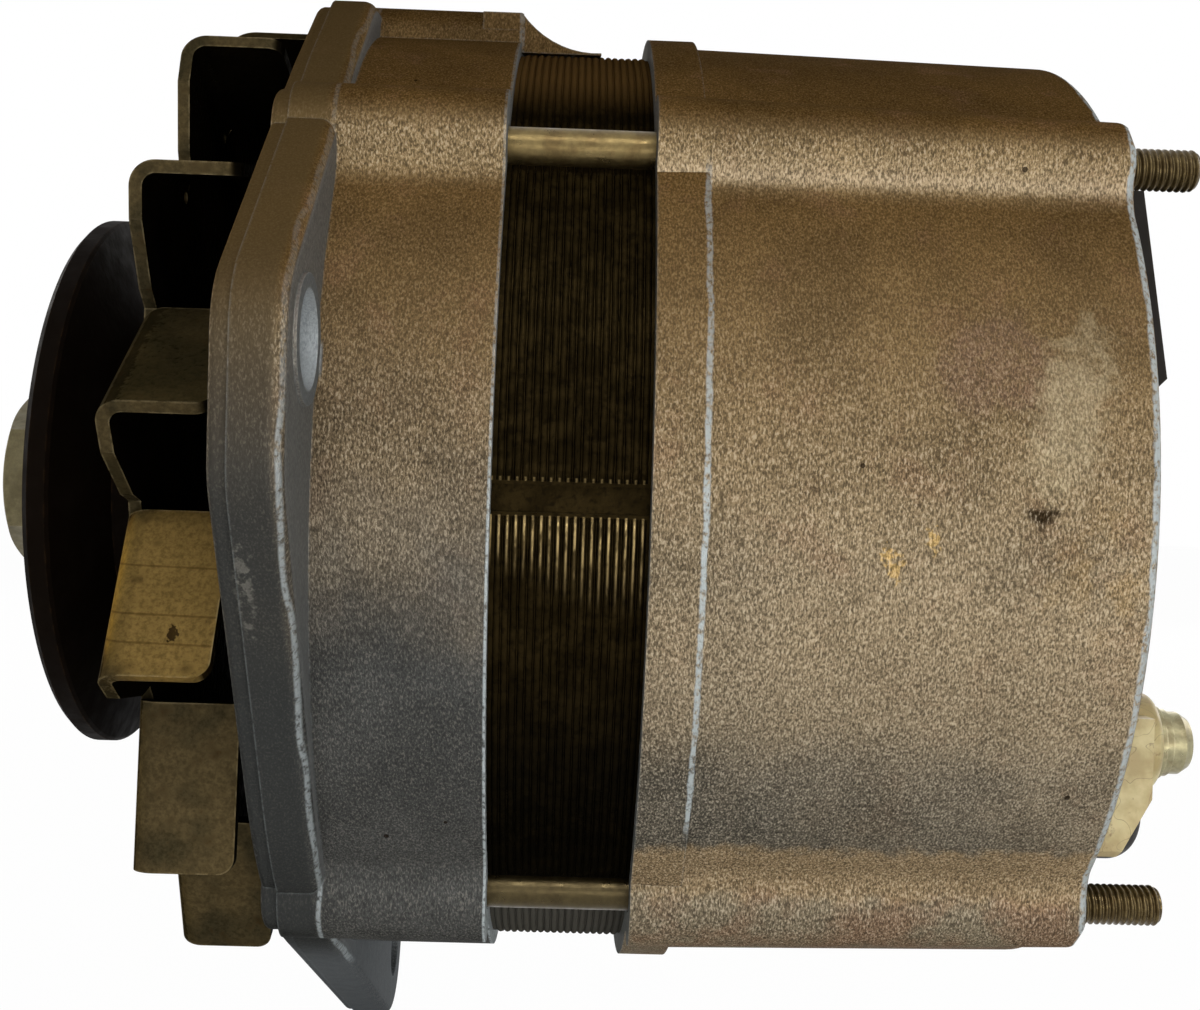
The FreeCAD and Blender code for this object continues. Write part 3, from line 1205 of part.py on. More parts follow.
def terminal_screw():
    """Main terminal screw, whose shank reaches through to the positive plate."""
    place = V(0, TERMINAL_Y, TERMINAL_Z)
    seat = REAR_FACE + TERMINAL_BLOCK_RISE + PLAIN_WASHER_THICKNESS + SPRING_WASHER_THICKNESS
    return pan_screw(place, seat, PLATE_FRONT - 1, 1, TERMINAL_SCREW_RADIUS, SCREW_HEAD_RADIUS, SCREW_HEAD_HEIGHT)


def warning_terminal():
    """Small dark socket of the warning-lamp lead."""
    place = V(0, WARNING_TERMINAL_Y, WARNING_TERMINAL_Z)
    body = round_bar(WARNING_TERMINAL_RADIUS, REAR_FACE, REAR_FACE + WARNING_TERMINAL_RISE, place)
    end = REAR_FACE + WARNING_TERMINAL_RISE
    body = rounded(body, WARNING_TERMINAL_ROUND, lambda edge: is_circle(edge, WARNING_TERMINAL_RADIUS, end))
    half_y, half_z = WARNING_SLOT
    slot = block(end - WARNING_SLOT_DEPTH, end + 1, place.y - half_y, place.y + half_y,
                 place.z - half_z, place.z + half_z)
    return body.cut(slot)


def regulator_screw_places():
    """Centres of the two regulator screws."""
    side = REGULATOR_HALF_WIDTH + EAR_REACH / 2
    height = (EAR_LOW + EAR_HIGH) / 2
    return [V(0, -side, height), V(0, side, height)]


def regulator():
    """Regulator body on the rear face, with a sloping back and two ears."""
    outline = [
        V(REAR_FACE, 0, REGULATOR_LOW + REGULATOR_FOOT),
        V(REAR_FACE + REGULATOR_GAP, 0, REGULATOR_LOW + REGULATOR_FOOT),
        V(REAR_FACE + REGULATOR_GAP, 0, REGULATOR_LOW),
        V(REAR_FACE + REGULATOR_RISE - REGULATOR_BEVEL, 0, REGULATOR_LOW),
        V(REAR_FACE + REGULATOR_RISE, 0, REGULATOR_LOW + REGULATOR_BEVEL),
        V(REAR_FACE + REGULATOR_TOP_RISE + REGULATOR_BACK_RISE, 0, REGULATOR_HIGH - REGULATOR_BACK),
        V(REAR_FACE + REGULATOR_TOP_RISE, 0, REGULATOR_HIGH),
        V(REAR_FACE, 0, REGULATOR_HIGH),
    ]
    body = Part.Face(Part.makePolygon(outline + outline[:1])).extrude(V(0, 2 * REGULATOR_HALF_WIDTH, 0))
    body.translate(V(0, -REGULATOR_HALF_WIDTH, 0))
    reach = REGULATOR_HALF_WIDTH + EAR_REACH
    whole = [body]
    for side in (-1, 1):
        low, high = sorted((side * (REGULATOR_HALF_WIDTH - 1), side * reach))
        ear = block(REAR_FACE, REAR_FACE + EAR_THICKNESS, low, high, EAR_LOW, EAR_HIGH)
        whole.append(rounded(ear, EAR_ROUND, lambda edge: is_ear_corner(edge, reach)))
    whole = fused(whole)
    holes = [round_bar(SCREW_RADIUS + BOLT_FIT, REAR_FACE - 1, REAR_FACE + EAR_THICKNESS + 1, place)
             for place in regulator_screw_places()]
    return whole.cut(group(holes))


def is_ear_corner(edge, reach):
    """True for a short edge at the free end of a regulator ear."""
    return edge.Length < EAR_THICKNESS + 0.1 and abs(edge.CenterOfMass.y) > reach - 0.1


def regulator_screws():
    """Screws through the regulator's ears."""
    seat = REAR_FACE + EAR_THICKNESS
    return group(pan_screw(place, seat, REAR_INNER + PART_GAP, 1, SCREW_RADIUS, SMALL_HEAD_RADIUS, SMALL_HEAD_HEIGHT)
                 for place in regulator_screw_places())


def brush_holder():
    """Plastic brush box under the regulator, reaching through the rear wall to the slip rings."""
    half = BRUSH_WIDTH / 2 + BRUSH_BOX_WALL
    front = slip_ring_front(0) - BRUSH_BOX_FRONT_WALL
    rear = slip_ring_front(1) + SLIP_RING_WIDTH + BRUSH_BOX_REAR_WALL
    low = SLIP_RING_RADIUS + BRUSH_BOX_CLEARANCE
    box = block(front, rear, -half, half, low, REGULATOR_HIGH)
    neck = block(rear - 1, REAR_FACE, -half, half, REAR_HUB_RADIUS + BRUSH_BOX_CLEARANCE,
                 REGULATOR_HIGH - BRUSH_BOX_CLEARANCE)
    body = fused([box, neck])
    cuts = [brush_space(k, low - 1, BOX_ROOF) for k in range(2)]
    return body.cut(group(cuts))


def brush_space(k, low, high):
    """Guide channel of brush k."""
    middle = slip_ring_front(k) + SLIP_RING_WIDTH / 2
    half_x = BRUSH_THICKNESS / 2 + BRUSH_FIT
    half_y = BRUSH_WIDTH / 2 + BRUSH_FIT
    return block(middle - half_x, middle + half_x, -half_y, half_y, low, high)


def brush(k):
    """Carbon brush with a foot curved to its slip ring."""
    middle = slip_ring_front(k) + SLIP_RING_WIDTH / 2
    half_x = BRUSH_THICKNESS / 2
    body = block(middle - half_x, middle + half_x, -BRUSH_WIDTH / 2, BRUSH_WIDTH / 2, BRUSH_FOOT - 2, BRUSH_TOP)
    return body.cut(round_bar(BRUSH_FOOT, SLIP_FRONT - 5, SLIP_REAR + 5))


def brush_spring(k):
    """Helical spring between a brush and the roof of its channel."""
    middle = slip_ring_front(k) + SLIP_RING_WIDTH / 2
    start = BRUSH_TOP + SPRING_WIRE + SPRING_END_GAP
    length = BOX_ROOF - SPRING_WIRE - SPRING_END_GAP - start
    helix = Part.makeHelix(length / SPRING_TURNS, length, SPRING_COIL)
    circle = Part.makeCircle(SPRING_WIRE, V(SPRING_COIL, 0, 0), V(0, 1, 0))
    wire = Part.Wire(helix.Edges).makePipeShell([Part.Wire(circle)], True, True)
    wire.translate(V(middle, 0, start))
    return wire


def save(name, shape):
    """Write one named piece."""
    shape.exportStep(f"parts/{name}.step")


def main():
    os.makedirs("parts", exist_ok=True)
    save("drive_end_housing", drive_end_housing())
    save("rear_housing", rear_housing())
    save("stator_core", stator_core())
    save("stator_windings", stator_windings())
    save("stator_leads", stator_leads())
    save("through_bolts", through_bolts())
    inner, outer = bearing_rings(FRONT_BEARING_BORE, FRONT_BEARING_OUTER, FRONT_BEARING_WIDTH, FRONT_BEARING_FRONT,
                                 FRONT_BALL_RADIUS)
    save("front_bearing_inner_ring", inner)
    save("front_bearing_outer_ring", outer)
    save("front_ball_set", ball_set(FRONT_BEARING_BORE, FRONT_BEARING_OUTER, FRONT_BEARING_WIDTH,
                                    FRONT_BEARING_FRONT, FRONT_BALL_RADIUS, FRONT_BALL_COUNT))
    inner, outer = bearing_rings(REAR_BEARING_BORE, REAR_BEARING_OUTER, REAR_BEARING_WIDTH, REAR_BEARING_FRONT,
                                 REAR_BALL_RADIUS)
    save("rear_bearing_inner_ring", inner)
    save("rear_bearing_outer_ring", outer)
    save("rear_ball_set", ball_set(REAR_BEARING_BORE, REAR_BEARING_OUTER, REAR_BEARING_WIDTH,
                                   REAR_BEARING_FRONT, REAR_BALL_RADIUS, REAR_BALL_COUNT))
    save("bearing_retainer", bearing_retainer())
    save("retainer_screws", retainer_screws())
    save("rotor_shaft", rotor_shaft())
    save("shaft_key", shaft_key())
    save("claw_pole_front", claw_pole(ROTOR_FRONT, ROTOR_CENTRE, ROTOR_REAR, 0))
    save("claw_pole_rear", claw_pole(ROTOR_REAR, ROTOR_CENTRE, ROTOR_FRONT, 180 / CLAW_COUNT))
    save("coil_bobbin", coil_bobbin())
    save("field_coil", field_coil())
    save("slip_ring_insulator", slip_ring_insulator())
    save("slip_ring_inner", slip_ring(0))
    save("slip_ring_outer", slip_ring(1))
    save("fan", fan())
    save("fan_spacer", fan_spacer())
    save("pulley", pulley())
    save("pulley_washer", pulley_washer())
    save("pulley_nut", pulley_nut())
    save("positive_heat_sink", positive_heat_sink())
    save("negative_heat_sink", negative_heat_sink())
    save("power_diodes", power_diodes())
    save("diode_carrier", diode_carrier())
    save("exciter_diodes", exciter_diodes())
    save("rectifier_insulators", rectifier_insulators())
    save("rectifier_screws", rectifier_screws())
    save("terminal_block", terminal_block())
    save("terminal_washers", terminal_washers())
    save("terminal_screw", terminal_screw())
    save("warning_terminal", warning_terminal())
    save("regulator", regulator())
    save("regulator_screws", regulator_screws())
    save("brush_holder", brush_holder())
    save("brush_inner", brush(0))
    save("brush_outer", brush(1))
    save("brush_spring_inner", brush_spring(0))
    save("brush_spring_outer", brush_spring(1))


main()
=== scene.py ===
import bpy
import json
import math
import random
from mathutils import Matrix, Vector


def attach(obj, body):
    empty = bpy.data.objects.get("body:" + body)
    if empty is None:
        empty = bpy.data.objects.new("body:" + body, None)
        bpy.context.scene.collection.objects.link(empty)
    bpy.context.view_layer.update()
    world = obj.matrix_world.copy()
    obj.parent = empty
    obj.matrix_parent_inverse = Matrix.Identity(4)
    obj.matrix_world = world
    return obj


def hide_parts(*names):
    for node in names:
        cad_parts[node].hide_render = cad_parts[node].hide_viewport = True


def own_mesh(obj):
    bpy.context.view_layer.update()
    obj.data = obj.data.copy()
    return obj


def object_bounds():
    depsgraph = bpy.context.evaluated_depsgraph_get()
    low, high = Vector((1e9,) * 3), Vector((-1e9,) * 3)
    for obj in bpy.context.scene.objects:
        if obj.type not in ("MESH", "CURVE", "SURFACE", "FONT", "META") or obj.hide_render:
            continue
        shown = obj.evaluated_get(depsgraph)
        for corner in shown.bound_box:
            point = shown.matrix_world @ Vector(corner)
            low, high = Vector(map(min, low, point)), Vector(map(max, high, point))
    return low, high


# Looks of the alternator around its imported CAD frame, in metres.
# +X runs along the shaft to the rear face, +Z is up and -Y is the near side, which the camera sees.

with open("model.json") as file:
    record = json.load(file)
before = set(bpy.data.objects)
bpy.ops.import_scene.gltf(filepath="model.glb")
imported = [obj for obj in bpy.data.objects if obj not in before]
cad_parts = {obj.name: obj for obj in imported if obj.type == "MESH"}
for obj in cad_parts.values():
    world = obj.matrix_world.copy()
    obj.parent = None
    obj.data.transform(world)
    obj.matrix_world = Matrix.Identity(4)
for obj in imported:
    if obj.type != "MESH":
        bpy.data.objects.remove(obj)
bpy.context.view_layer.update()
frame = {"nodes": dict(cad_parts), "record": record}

MM = 0.001
RANDOM = random.Random(7)


# Camera

CAMERA_PLACE = Vector((-65.02, -222.57, 0.0)) * MM
CAMERA_YAW = math.radians(1.23)
CAMERA_PITCH = math.radians(-0.33)
CAMERA_ROLL = math.radians(1.85)
CAMERA_LENS = 43.82
SENSOR_WIDTH = 36.0
CLIP_NEAR = 0.01
CLIP_FAR = 20.0


def make_camera():
    """Camera at the photograph's place, turned by its yaw, pitch and roll."""
    sy, cy = math.sin(CAMERA_YAW), math.cos(CAMERA_YAW)
    sp, cp = math.sin(CAMERA_PITCH), math.cos(CAMERA_PITCH)
    sr, cr = math.sin(CAMERA_ROLL), math.cos(CAMERA_ROLL)
    forward = Vector((cp * sy, cp * cy, sp))
    level_right = Vector((cy, -sy, 0))
    level_up = Vector((-sp * sy, -sp * cy, cp))
    right = cr * level_right + sr * level_up
    up = cr * level_up - sr * level_right
    data = bpy.data.cameras.new("photo_camera")
    data.lens = CAMERA_LENS
    data.sensor_width = SENSOR_WIDTH
    data.clip_start = CLIP_NEAR
    data.clip_end = CLIP_FAR
    camera = bpy.data.objects.new("photo_camera", data)
    columns = (right, up, -forward, CAMERA_PLACE)
    rows = [[c[i] for c in columns] for i in range(3)] + [[0, 0, 0, 1]]
    camera.matrix_world = Matrix(rows)
    bpy.context.scene.collection.objects.link(camera)
    bpy.context.scene.camera = camera


make_camera()


# Places on the part that the materials follow, in millimetres, with slopes and shares as plain numbers

SKIN_HEIGHTS = (-34.0, 30.0)
COOL_EDGE = (-68.0, -17.0)
COOL_SLOPE = -0.48
FRONT_CASTING = (-70.0, -58.0)
UPWARD_SHADE_HEIGHTS = (-36.0, -20.0)
TOP_SHADE_HEIGHTS = (52.0, 62.0)
LIP_EDGE = -50.0
LIP_SEAM_REACH = 40.0
LIP_SEAM_FADE = 4.0
SKIRT_EDGE = -73.5
REAR_EDGE = -1.6
FLANGE_REAR_EDGE = -92.8
FLANGE_RIM = (66.3, 67.0)
FLANGE_HEIGHTS = (-4.0, 30.0)
LUG_HEIGHTS = (-66.0, -56.0)
LUG_DEPTH = (-90.0, -88.0)
ABOVE_LUG = (-67.0, -64.0)
ROUGH_MARK_PLACE = (-97.6, -10.0)
NEAR_BORE = (-70.667, 15.279)
NEAR_BORE_WALL = (5.2, 5.5)
NEAR_BORE_PAD = (6.7, 7.2)
BEHIND_FLANGE = (-92.2, -92.0)
FLANK_FOOT = (-36.0, -30.0)
UPPER_LOBE_FOOT = (29.0, 36.5)
LOWER_LOBE = (-47.2, -41.8)
LOWEST_SKIN = (-48.2, -46.2)
RUDDY_PLACE = (-19.0, 16.0)
STAIN_PLACE = (-7.0, -7.0)
RUBBED_PLACE = (-10.4, 10.5)
RUBBED_LEAN = 0.19
RUBBED_SQUEEZE = 0.42
PIT_PLACE = (-13.5, -1.9)
GRIME_HEIGHTS = (-14.0, 4.0)
GRIME_DEPTH = (-2.6, -1.8)
GRIME_RIM = (66.0, 66.3)
GOLDEN_FLECKS = ((-29.4, -6.7, 1.0), (-30.2, -5.4, 0.6), (-25.3, -3.4, 0.8))
STATOR_RADIUS = 63.7
REAR_MOUTH = -56.1
SHEET_FROM = SKIRT_EDGE + 0.5
SHEET_TO = REAR_MOUTH - 0.3
SHEETS = 18
SHEET_STEP = (SHEET_TO - SHEET_FROM) / SHEETS
SHEET_SHADE_HEIGHTS = (-34.0, -14.0)
SHEET_TOP_HEIGHTS = (46.0, 54.0)
SHEET_LOW_HEIGHTS = (-54.0, -46.0)
SHEET_DULL_HEIGHTS = (40.0, 50.0)
GLINT_TOP = (-2.4, -2.2)
GLINT_ENDS = (-74.0, -60.0)
GLINT_FRONT_REACH = -9.0
GLINT_REAR_REACH = -13.5
WELD_GROOVE = -0.45
WELD_GROOVE_EDGES = (1.95, 2.3)
FAN_LIT_PLACE = (-108.0, -12.0)
FAN_PIT_PLACE = (-108.1, -16.7)
FAN_SCRATCHES = (-11.7, -16.9, -19.9)
FAN_SCRATCH_SLOPE = 0.02
BEHIND_MOUTH = (-52.0, -50.0)
LOW_BOLTS = (-30.0, 0.0)
STUD_START = (-0.4, 0.0)
STEEL_GRAIN = 0.8

# Colours as they look on the screen, from 0 to 255

SKIN_LOW = (138, 126, 106)
SKIN_HIGH = (144, 124, 92)
COOL_SHADE_REAR = (94, 90, 81)
COOL_SHADE_FRONT = (76, 77, 76)
BROWN_SHADE = (97, 72, 33)
RUDDY_SKIN = (134, 102, 80)
TURNED_GREY = (126, 129, 130)
GRAIN_GLINT = (206, 196, 176)
PINHOLE_SHADE = (30, 20, 12)
WORN_EDGE_HIGHLIGHT = (184, 194, 198)
FLANGE_LOW_SHADE = (54, 56, 56)
FLANGE_HIGH_SHADE = (94, 78, 50)
LUG_LIT_GREY = (100, 105, 109)
ROUGH_MARK = (148, 146, 138)
PAD_GREY = (126, 132, 136)
BORE_WALL_HIGHLIGHT = (176, 184, 190)
FLANK_LIT_PALE = (176, 156, 124)
UNDER_LOBE_LIT_PALE = (196, 176, 146)
LOBE_LIT_TAN = (164, 140, 104)
LOWEST_GREY = (136, 124, 102)
LOWEST_RUST = (138, 112, 88)
RUDDY_PATCH = (128, 104, 86)
GOLDEN_STAIN = (166, 132, 72)
RUBBED_PALE = (176, 162, 132)
PIT_SHADE_BROWN = (42, 30, 15)
GRIME = (26, 21, 15)
FLECK_GOLD = (200, 166, 100)
BOLT_SHADE = (52, 46, 30)
THREAD_SOIL_AND_SHADE = (60, 47, 24)
VARNISH = (27, 21, 9)
VARNISH_PALE = (40, 32, 16)
VARNISH_SPOT = (12, 9, 5)
SHEET_SHADE = (8, 8, 6)
SHEET_TOP_BROWN = (100, 76, 42)
SHEET_LOW_GREY = (84, 83, 78)
SHEET_GLINT = (190, 166, 116)
SHEET_TICK_GLINT = (150, 130, 88)
STEEL_ZINC = (118, 102, 66)
STEEL_ZINC_STAIN = (78, 60, 32)
FAN_ZINC = (80, 69, 46)
FAN_ZINC_DARK = (56, 50, 34)
FAN_LIT_GOLD = (134, 110, 62)
FAN_UPWARD_SHADE = (34, 29, 13)
FAN_STAIN = (46, 34, 18)
FAN_SCRATCH = (58, 42, 18)
FAN_PIT_SHADE = (30, 20, 10)
FAN_WORN = (150, 136, 104)
FAN_INNER_SHADE = (9, 7, 4)
CREAM = (202, 189, 142)
CREAM_SOILED = (168, 150, 104)
CREAM_STAIN = (88, 58, 26)
CREAM_CRACK = (60, 38, 18)

# Tint of the grazing reflections, which keeps the white surroundings from washing out dark skins

GRAZING_TINT = (0.25, 0.25, 0.25, 1.0)


# Node materials

def linear(red, green, blue):
    """Linear colour of screen values from 0 to 255."""
    def one(value):
        value /= 255
        return value / 12.92 if value <= 0.04045 else ((value + 0.055) / 1.055) ** 2.4
    return one(red), one(green), one(blue), 1.0


def brighter(colour, step):
    """The screen colour with each value raised by step."""
    return tuple(min(255, value + step) for value in colour)


class Look:
    """One procedural material, wired in the coordinates of the part."""

    def __init__(self, name):
        self.material = bpy.data.materials.new(name)
        self.material.use_nodes = True
        tree = self.material.node_tree
        tree.nodes.clear()
        self.nodes = tree.nodes
        self.links = tree.links
        self.shader = self.nodes.new("ShaderNodeBsdfPrincipled")
        self.output = self.nodes.new("ShaderNodeOutputMaterial")
        self.links.new(self.shader.outputs[0], self.output.inputs[0])
        coordinates = self.nodes.new("ShaderNodeTexCoord")
        self.place = coordinates.outputs["Object"]
        facing = self.nodes.new("ShaderNodeSeparateXYZ")
        self.links.new(coordinates.outputs["Normal"], facing.inputs[0])
        self.facing_x, self.facing_y, self.facing_z = facing.outputs
        split = self.nodes.new("ShaderNodeSeparateXYZ")
        self.links.new(self.place, split.inputs[0])
        self.x, self.y, self.z = split.outputs

    def put(self, socket, value):
        """Links a node's output to the socket, or sets a plain value on it."""
        if isinstance(value, bpy.types.NodeSocket):
            self.links.new(value, socket)
        else:
            socket.default_value = value

    def set(self, **values):
        """Sets the shader's inputs, whose names are written with underscores."""
        for name, value in values.items():
            self.put(self.shader.inputs[name.replace("_", " ")], value)
        return self.material

    def math(self, kind, a, b=0.0, c=0.0):
        """The output of one math node."""
        node = self.nodes.new("ShaderNodeMath")
        node.operation = kind
        for socket, value in zip(node.inputs, (a, b, c)):
            self.put(socket, value)
        return node.outputs[0]

    def times(self, first, *others):
        """The product of the values."""
        for other in others:
            first = self.math("MULTIPLY", first, other)
        return first

    def plus(self, a, b):
        """The sum of two values."""
        return self.math("ADD", a, b)

    def minus(self, a, b):
        """The first value less the second."""
        return self.math("SUBTRACT", a, b)

    def amount(self, value):
        """The value without its sign."""
        return self.math("ABSOLUTE", value)

    def either(self, a, b):
        """The larger of two values."""
        return self.math("MAXIMUM", a, b)

    def length(self, a, b):
        """Length of the line whose two parts are given."""
        return self.math("SQRT", self.plus(self.times(a, a), self.times(b, b)))

    def radius(self):
        """Distance from the shaft's axis, in metres."""
        return self.length(self.y, self.z)

    def outward(self):
        """How far the surface faces away from the shaft, from -1 to 1."""
        lean = self.plus(self.times(self.y, self.facing_y), self.times(self.z, self.facing_z))
        return self.math("DIVIDE", lean, self.either(self.radius(), 0.0001))

    def stretched(self, x, y, z):
        """The part's coordinates, each multiplied by its factor."""
        node = self.nodes.new("ShaderNodeVectorMath")
        node.operation = "MULTIPLY"
        self.put(node.inputs[0], self.place)
        node.inputs[1].default_value = (x, y, z)
        return node.outputs[0]

    def noise(self, size, detail=3.0, rough=0.55, place=None, warp=0.0):
        """Noise from 0 to 1 whose main features are about size millimetres."""
        node = self.nodes.new("ShaderNodeTexNoise")
        self.put(node.inputs["Vector"], place or self.place)
        node.inputs["Scale"].default_value = 1 / (size * MM)
        node.inputs["Detail"].default_value = detail
        node.inputs["Roughness"].default_value = rough
        node.inputs["Distortion"].default_value = warp
        return node.outputs["Fac"]

    def cells(self, size):
        """Node of points that are about size millimetres apart."""
        node = self.nodes.new("ShaderNodeTexVoronoi")
        self.put(node.inputs["Vector"], self.place)
        node.inputs["Scale"].default_value = 1 / (size * MM)
        return node

    def pinholes(self, size, widest):
        """1 in small holes about size millimetres apart, up to widest of that across."""
        draw = self.nodes.new("ShaderNodeSeparateColor")
        self.links.new(self.cells(size).outputs["Color"], draw.inputs[0])
        reach = self.remap(draw.outputs[0], 0.6, 1.0, 0.0, widest)
        return self.math("LESS_THAN", self.cells(size).outputs["Distance"], reach)

    def remap(self, value, low, high, to_low=0.0, to_high=1.0):
        """Takes low to to_low and high to to_high with soft ends, clamped outside."""
        node = self.nodes.new("ShaderNodeMapRange")
        node.interpolation_type = "SMOOTHSTEP"
        for name, number in (("Value", value), ("From Min", low), ("From Max", high),
                             ("To Min", to_low), ("To Max", to_high)):
            self.put(node.inputs[name], number)
        return node.outputs[0]

    def ramp(self, value, low, high, to_low=0.0, to_high=1.0):
        """remap of a length, whose low and high are in millimetres."""
        return self.remap(value, low * MM, high * MM, to_low, to_high)

    def band(self, value, low, high, soft):
        """1 where the value lies between low and high, fading over soft outside them."""
        rise = self.remap(value, low - soft, low)
        fall = self.remap(value, high, high + soft, 1.0, 0.0)
        return self.times(rise, fall)

    def belt(self, value, low, high, soft):
        """band of a length, whose limits are in millimetres."""
        return self.band(value, low * MM, high * MM, soft * MM)

    def wander(self, noise, reach):
        """A shift of up to reach millimetres both ways, drawn by a noise."""
        return self.remap(noise, 0.3, 0.7, -reach * MM, reach * MM)

    def mix(self, share, a, b, blend="MIX"):
        """From linear colour a to linear colour b by share, or another way of blending them."""
        node = self.nodes.new("ShaderNodeMix")
        node.data_type = "RGBA"
        node.blend_type = blend
        self.put(node.inputs[0], share)
        self.put(node.inputs[6], a)
        self.put(node.inputs[7], b)
        return node.outputs[2]

    def blend(self, share, a, b):
        """From screen colour a to screen colour b by share."""
        return self.mix(share, linear(*a), linear(*b))

    def cover(self, base, colour, *shares):
        """The base under a screen colour that covers it by the product of the shares."""
        return self.mix(self.times(*shares), base, linear(*colour))

    def grey(self, value):
        """A grey colour from a value."""
        node = self.nodes.new("ShaderNodeCombineColor")
        for socket in node.inputs:
            self.put(socket, value)
        return node.outputs[0]

    def shade(self, base, value):
        """The base multiplied by a value."""
        return self.mix(1.0, base, self.grey(value), "MULTIPLY")

    def bump(self, height, depth, under=None):
        """Bump whose height of 1 stands depth millimetres high."""
        node = self.nodes.new("ShaderNodeBump")
        node.inputs["Strength"].default_value = 1.0
        node.inputs["Distance"].default_value = depth * MM
        self.put(node.inputs["Height"], height)
        if under is not None:
            self.put(node.inputs["Normal"], under)
        return node.outputs[0]

    def edges(self, radius):
        """1 along corners that are sharper than about radius millimetres."""
        bevel = self.nodes.new("ShaderNodeBevel")
        bevel.samples = 4
        bevel.inputs["Radius"].default_value = radius * MM
        plain = self.nodes.new("ShaderNodeNewGeometry").outputs["Normal"]
        dot = self.nodes.new("ShaderNodeVectorMath")
        dot.operation = "DOT_PRODUCT"
        self.links.new(bevel.outputs[0], dot.inputs[0])
        self.links.new(plain, dot.inputs[1])
        return self.remap(dot.outputs["Value"], 0.995, 0.86)

    def near_side(self):
        """1 on the side that faces the camera's place."""
        return self.ramp(self.y, -10, 0, 1.0, 0.0)

    def around(self):
        """1 on surfaces that look away from the shaft, 0 on flat faces that look along it."""
        return self.minus(1.0, self.remap(self.amount(self.facing_x), 0.5, 0.9))

    def spot(self, place, radius, soft=0.5, wobble=0.0, aspect=1.0):
        """1 inside a patch on the near side, whose x and z are given in millimetres."""
        dx = self.minus(self.x, place[0] * MM)
        dz = self.times(self.minus(self.z, place[1] * MM), aspect)
        away = self.length(dx, dz)
        if wobble:
            away = self.plus(away, self.wander(self.noise(radius * 0.8), wobble))
        near = self.near_side()
        return self.times(self.ramp(away, radius * (1 - soft), radius, 1.0, 0.0), near)


def casting(name, seams, marks):
    """Sand-blasted cast aluminium with a fine grain and painted light in its colour: greyer below and warmer
    above, a grey painted shade low towards the pulley, a brown painted shade above, and painted glints on
    the grain.
    """
    look = Look(name)
    turned = look.remap(look.amount(look.facing_x), 0.9, 0.98)
    # Painted shade: grey and darker low towards the pulley, and darkest on the front housing
    grey_side = look.minus(look.z, look.times(look.x, COOL_SLOPE))
    grey_side = look.plus(grey_side, look.wander(look.noise(22), 8))
    cool_shade = look.ramp(grey_side, *COOL_EDGE, 1.0, 0.0)
    # Painted light and shade: greyer below and warmer above
    base = look.blend(look.ramp(look.z, *SKIN_HEIGHTS), SKIN_LOW, SKIN_HIGH)
    front = look.ramp(look.x, *FRONT_CASTING, 1.0, 0.0)
    base = look.mix(cool_shade, base, look.blend(front, COOL_SHADE_REAR, COOL_SHADE_FRONT))
    # Painted shade: brown and darker on faces that look up, and along the top
    upper_shade = look.remap(look.facing_z, -0.16, 0.7, 0.0, 0.9)
    upper_shade = look.times(upper_shade, look.ramp(look.z, *UPWARD_SHADE_HEIGHTS))
    upper_shade = look.either(upper_shade, look.ramp(look.z, *TOP_SHADE_HEIGHTS, 0.0, 0.7))
    base = look.cover(base, BROWN_SHADE, upper_shade)
    base = look.shade(base, look.remap(look.noise(13, 4, 0.6), 0.35, 0.65, 0.86, 1.14))
    ruddy = look.remap(look.noise(8, 5, 0.65), 0.52, 0.68, 0.0, 0.25)
    base = look.cover(base, RUDDY_SKIN, ruddy, look.minus(1.0, cool_shade))
    base = look.cover(base, TURNED_GREY, turned, 0.8)
    smooth = look.times(turned, 0.7)
    for mark in marks:
        base, calm = mark(look, base)
        smooth = look.either(smooth, calm)
    base, grain = grained(look, base, smooth, look.times(cool_shade, front), upper_shade)
    # Pinholes, dented by the bump, with painted shade inside them
    pits = look.pinholes(6.5, 0.055)
    base = look.cover(base, PINHOLE_SHADE, pits, 0.85)
    # Bright edges and seams: bare metal with a painted edge highlight
    worn = look.times(look.edges(0.4), 0.22)
    for seam in seams:
        worn = look.either(worn, seam(look))
    flecks = look.remap(look.noise(0.7, 3.0, 0.6), 0.32, 0.56, 0.1, 1.0)
    base = look.cover(base, WORN_EDGE_HIGHLIGHT, worn, flecks, 0.9)
    height = look.plus(grain, look.times(look.noise(1.1, 2.0, 0.5), 0.4))
    height = look.times(height, look.remap(smooth, 0.0, 1.0, 1.0, 0.25))
    normal = look.bump(height, 0.17)
    normal = look.bump(look.minus(1.0, pits), 0.2, normal)
    rough = look.remap(look.noise(2.2, 3), 0.3, 0.7, 0.32, 0.42)
    metal = look.remap(upper_shade, 0.0, 0.7, 0.28, 0.03)
    return look.set(Base_Color=base, Metallic=metal, Specular_IOR_Level=0.0, Roughness=rough,
                    Normal=normal, Specular_Tint=GRAZING_TINT)


def grained(look, base, smooth, shaded_front, upper_shade):
    """The base under the fine upright grain and its painted glints, fainter where smooth, in the painted
    shade of the front housing or in the brown painted shade, and the grain itself.
    """
    grain = look.noise(0.22, 2.0, 0.6, look.stretched(1.0, 1.0, 0.46), 0.4)
    granular = look.minus(1.0, look.times(smooth, 0.85))
    granular = look.times(granular, look.remap(shaded_front, 0.3, 1.0, 1.0, 0.6))
    granular = look.times(granular, look.remap(upper_shade, 0.1, 0.6, 1.0, 0.65))
    base = look.mix(granular, base, look.shade(base, look.remap(grain, 0.3, 0.7, 0.36, 1.52)))
    # Painted glints on the peaks of the grain, fewer in the painted shade
    grain_glint = look.times(look.remap(grain, 0.54, 0.68, 0.0, 0.4), granular)
    grain_glint = look.times(grain_glint, look.remap(upper_shade, 0.0, 0.8, 1.0, 0.25))
    return look.cover(base, GRAIN_GLINT, grain_glint, look.remap(shaded_front, 0.0, 1.0, 1.0, 0.4)), grain


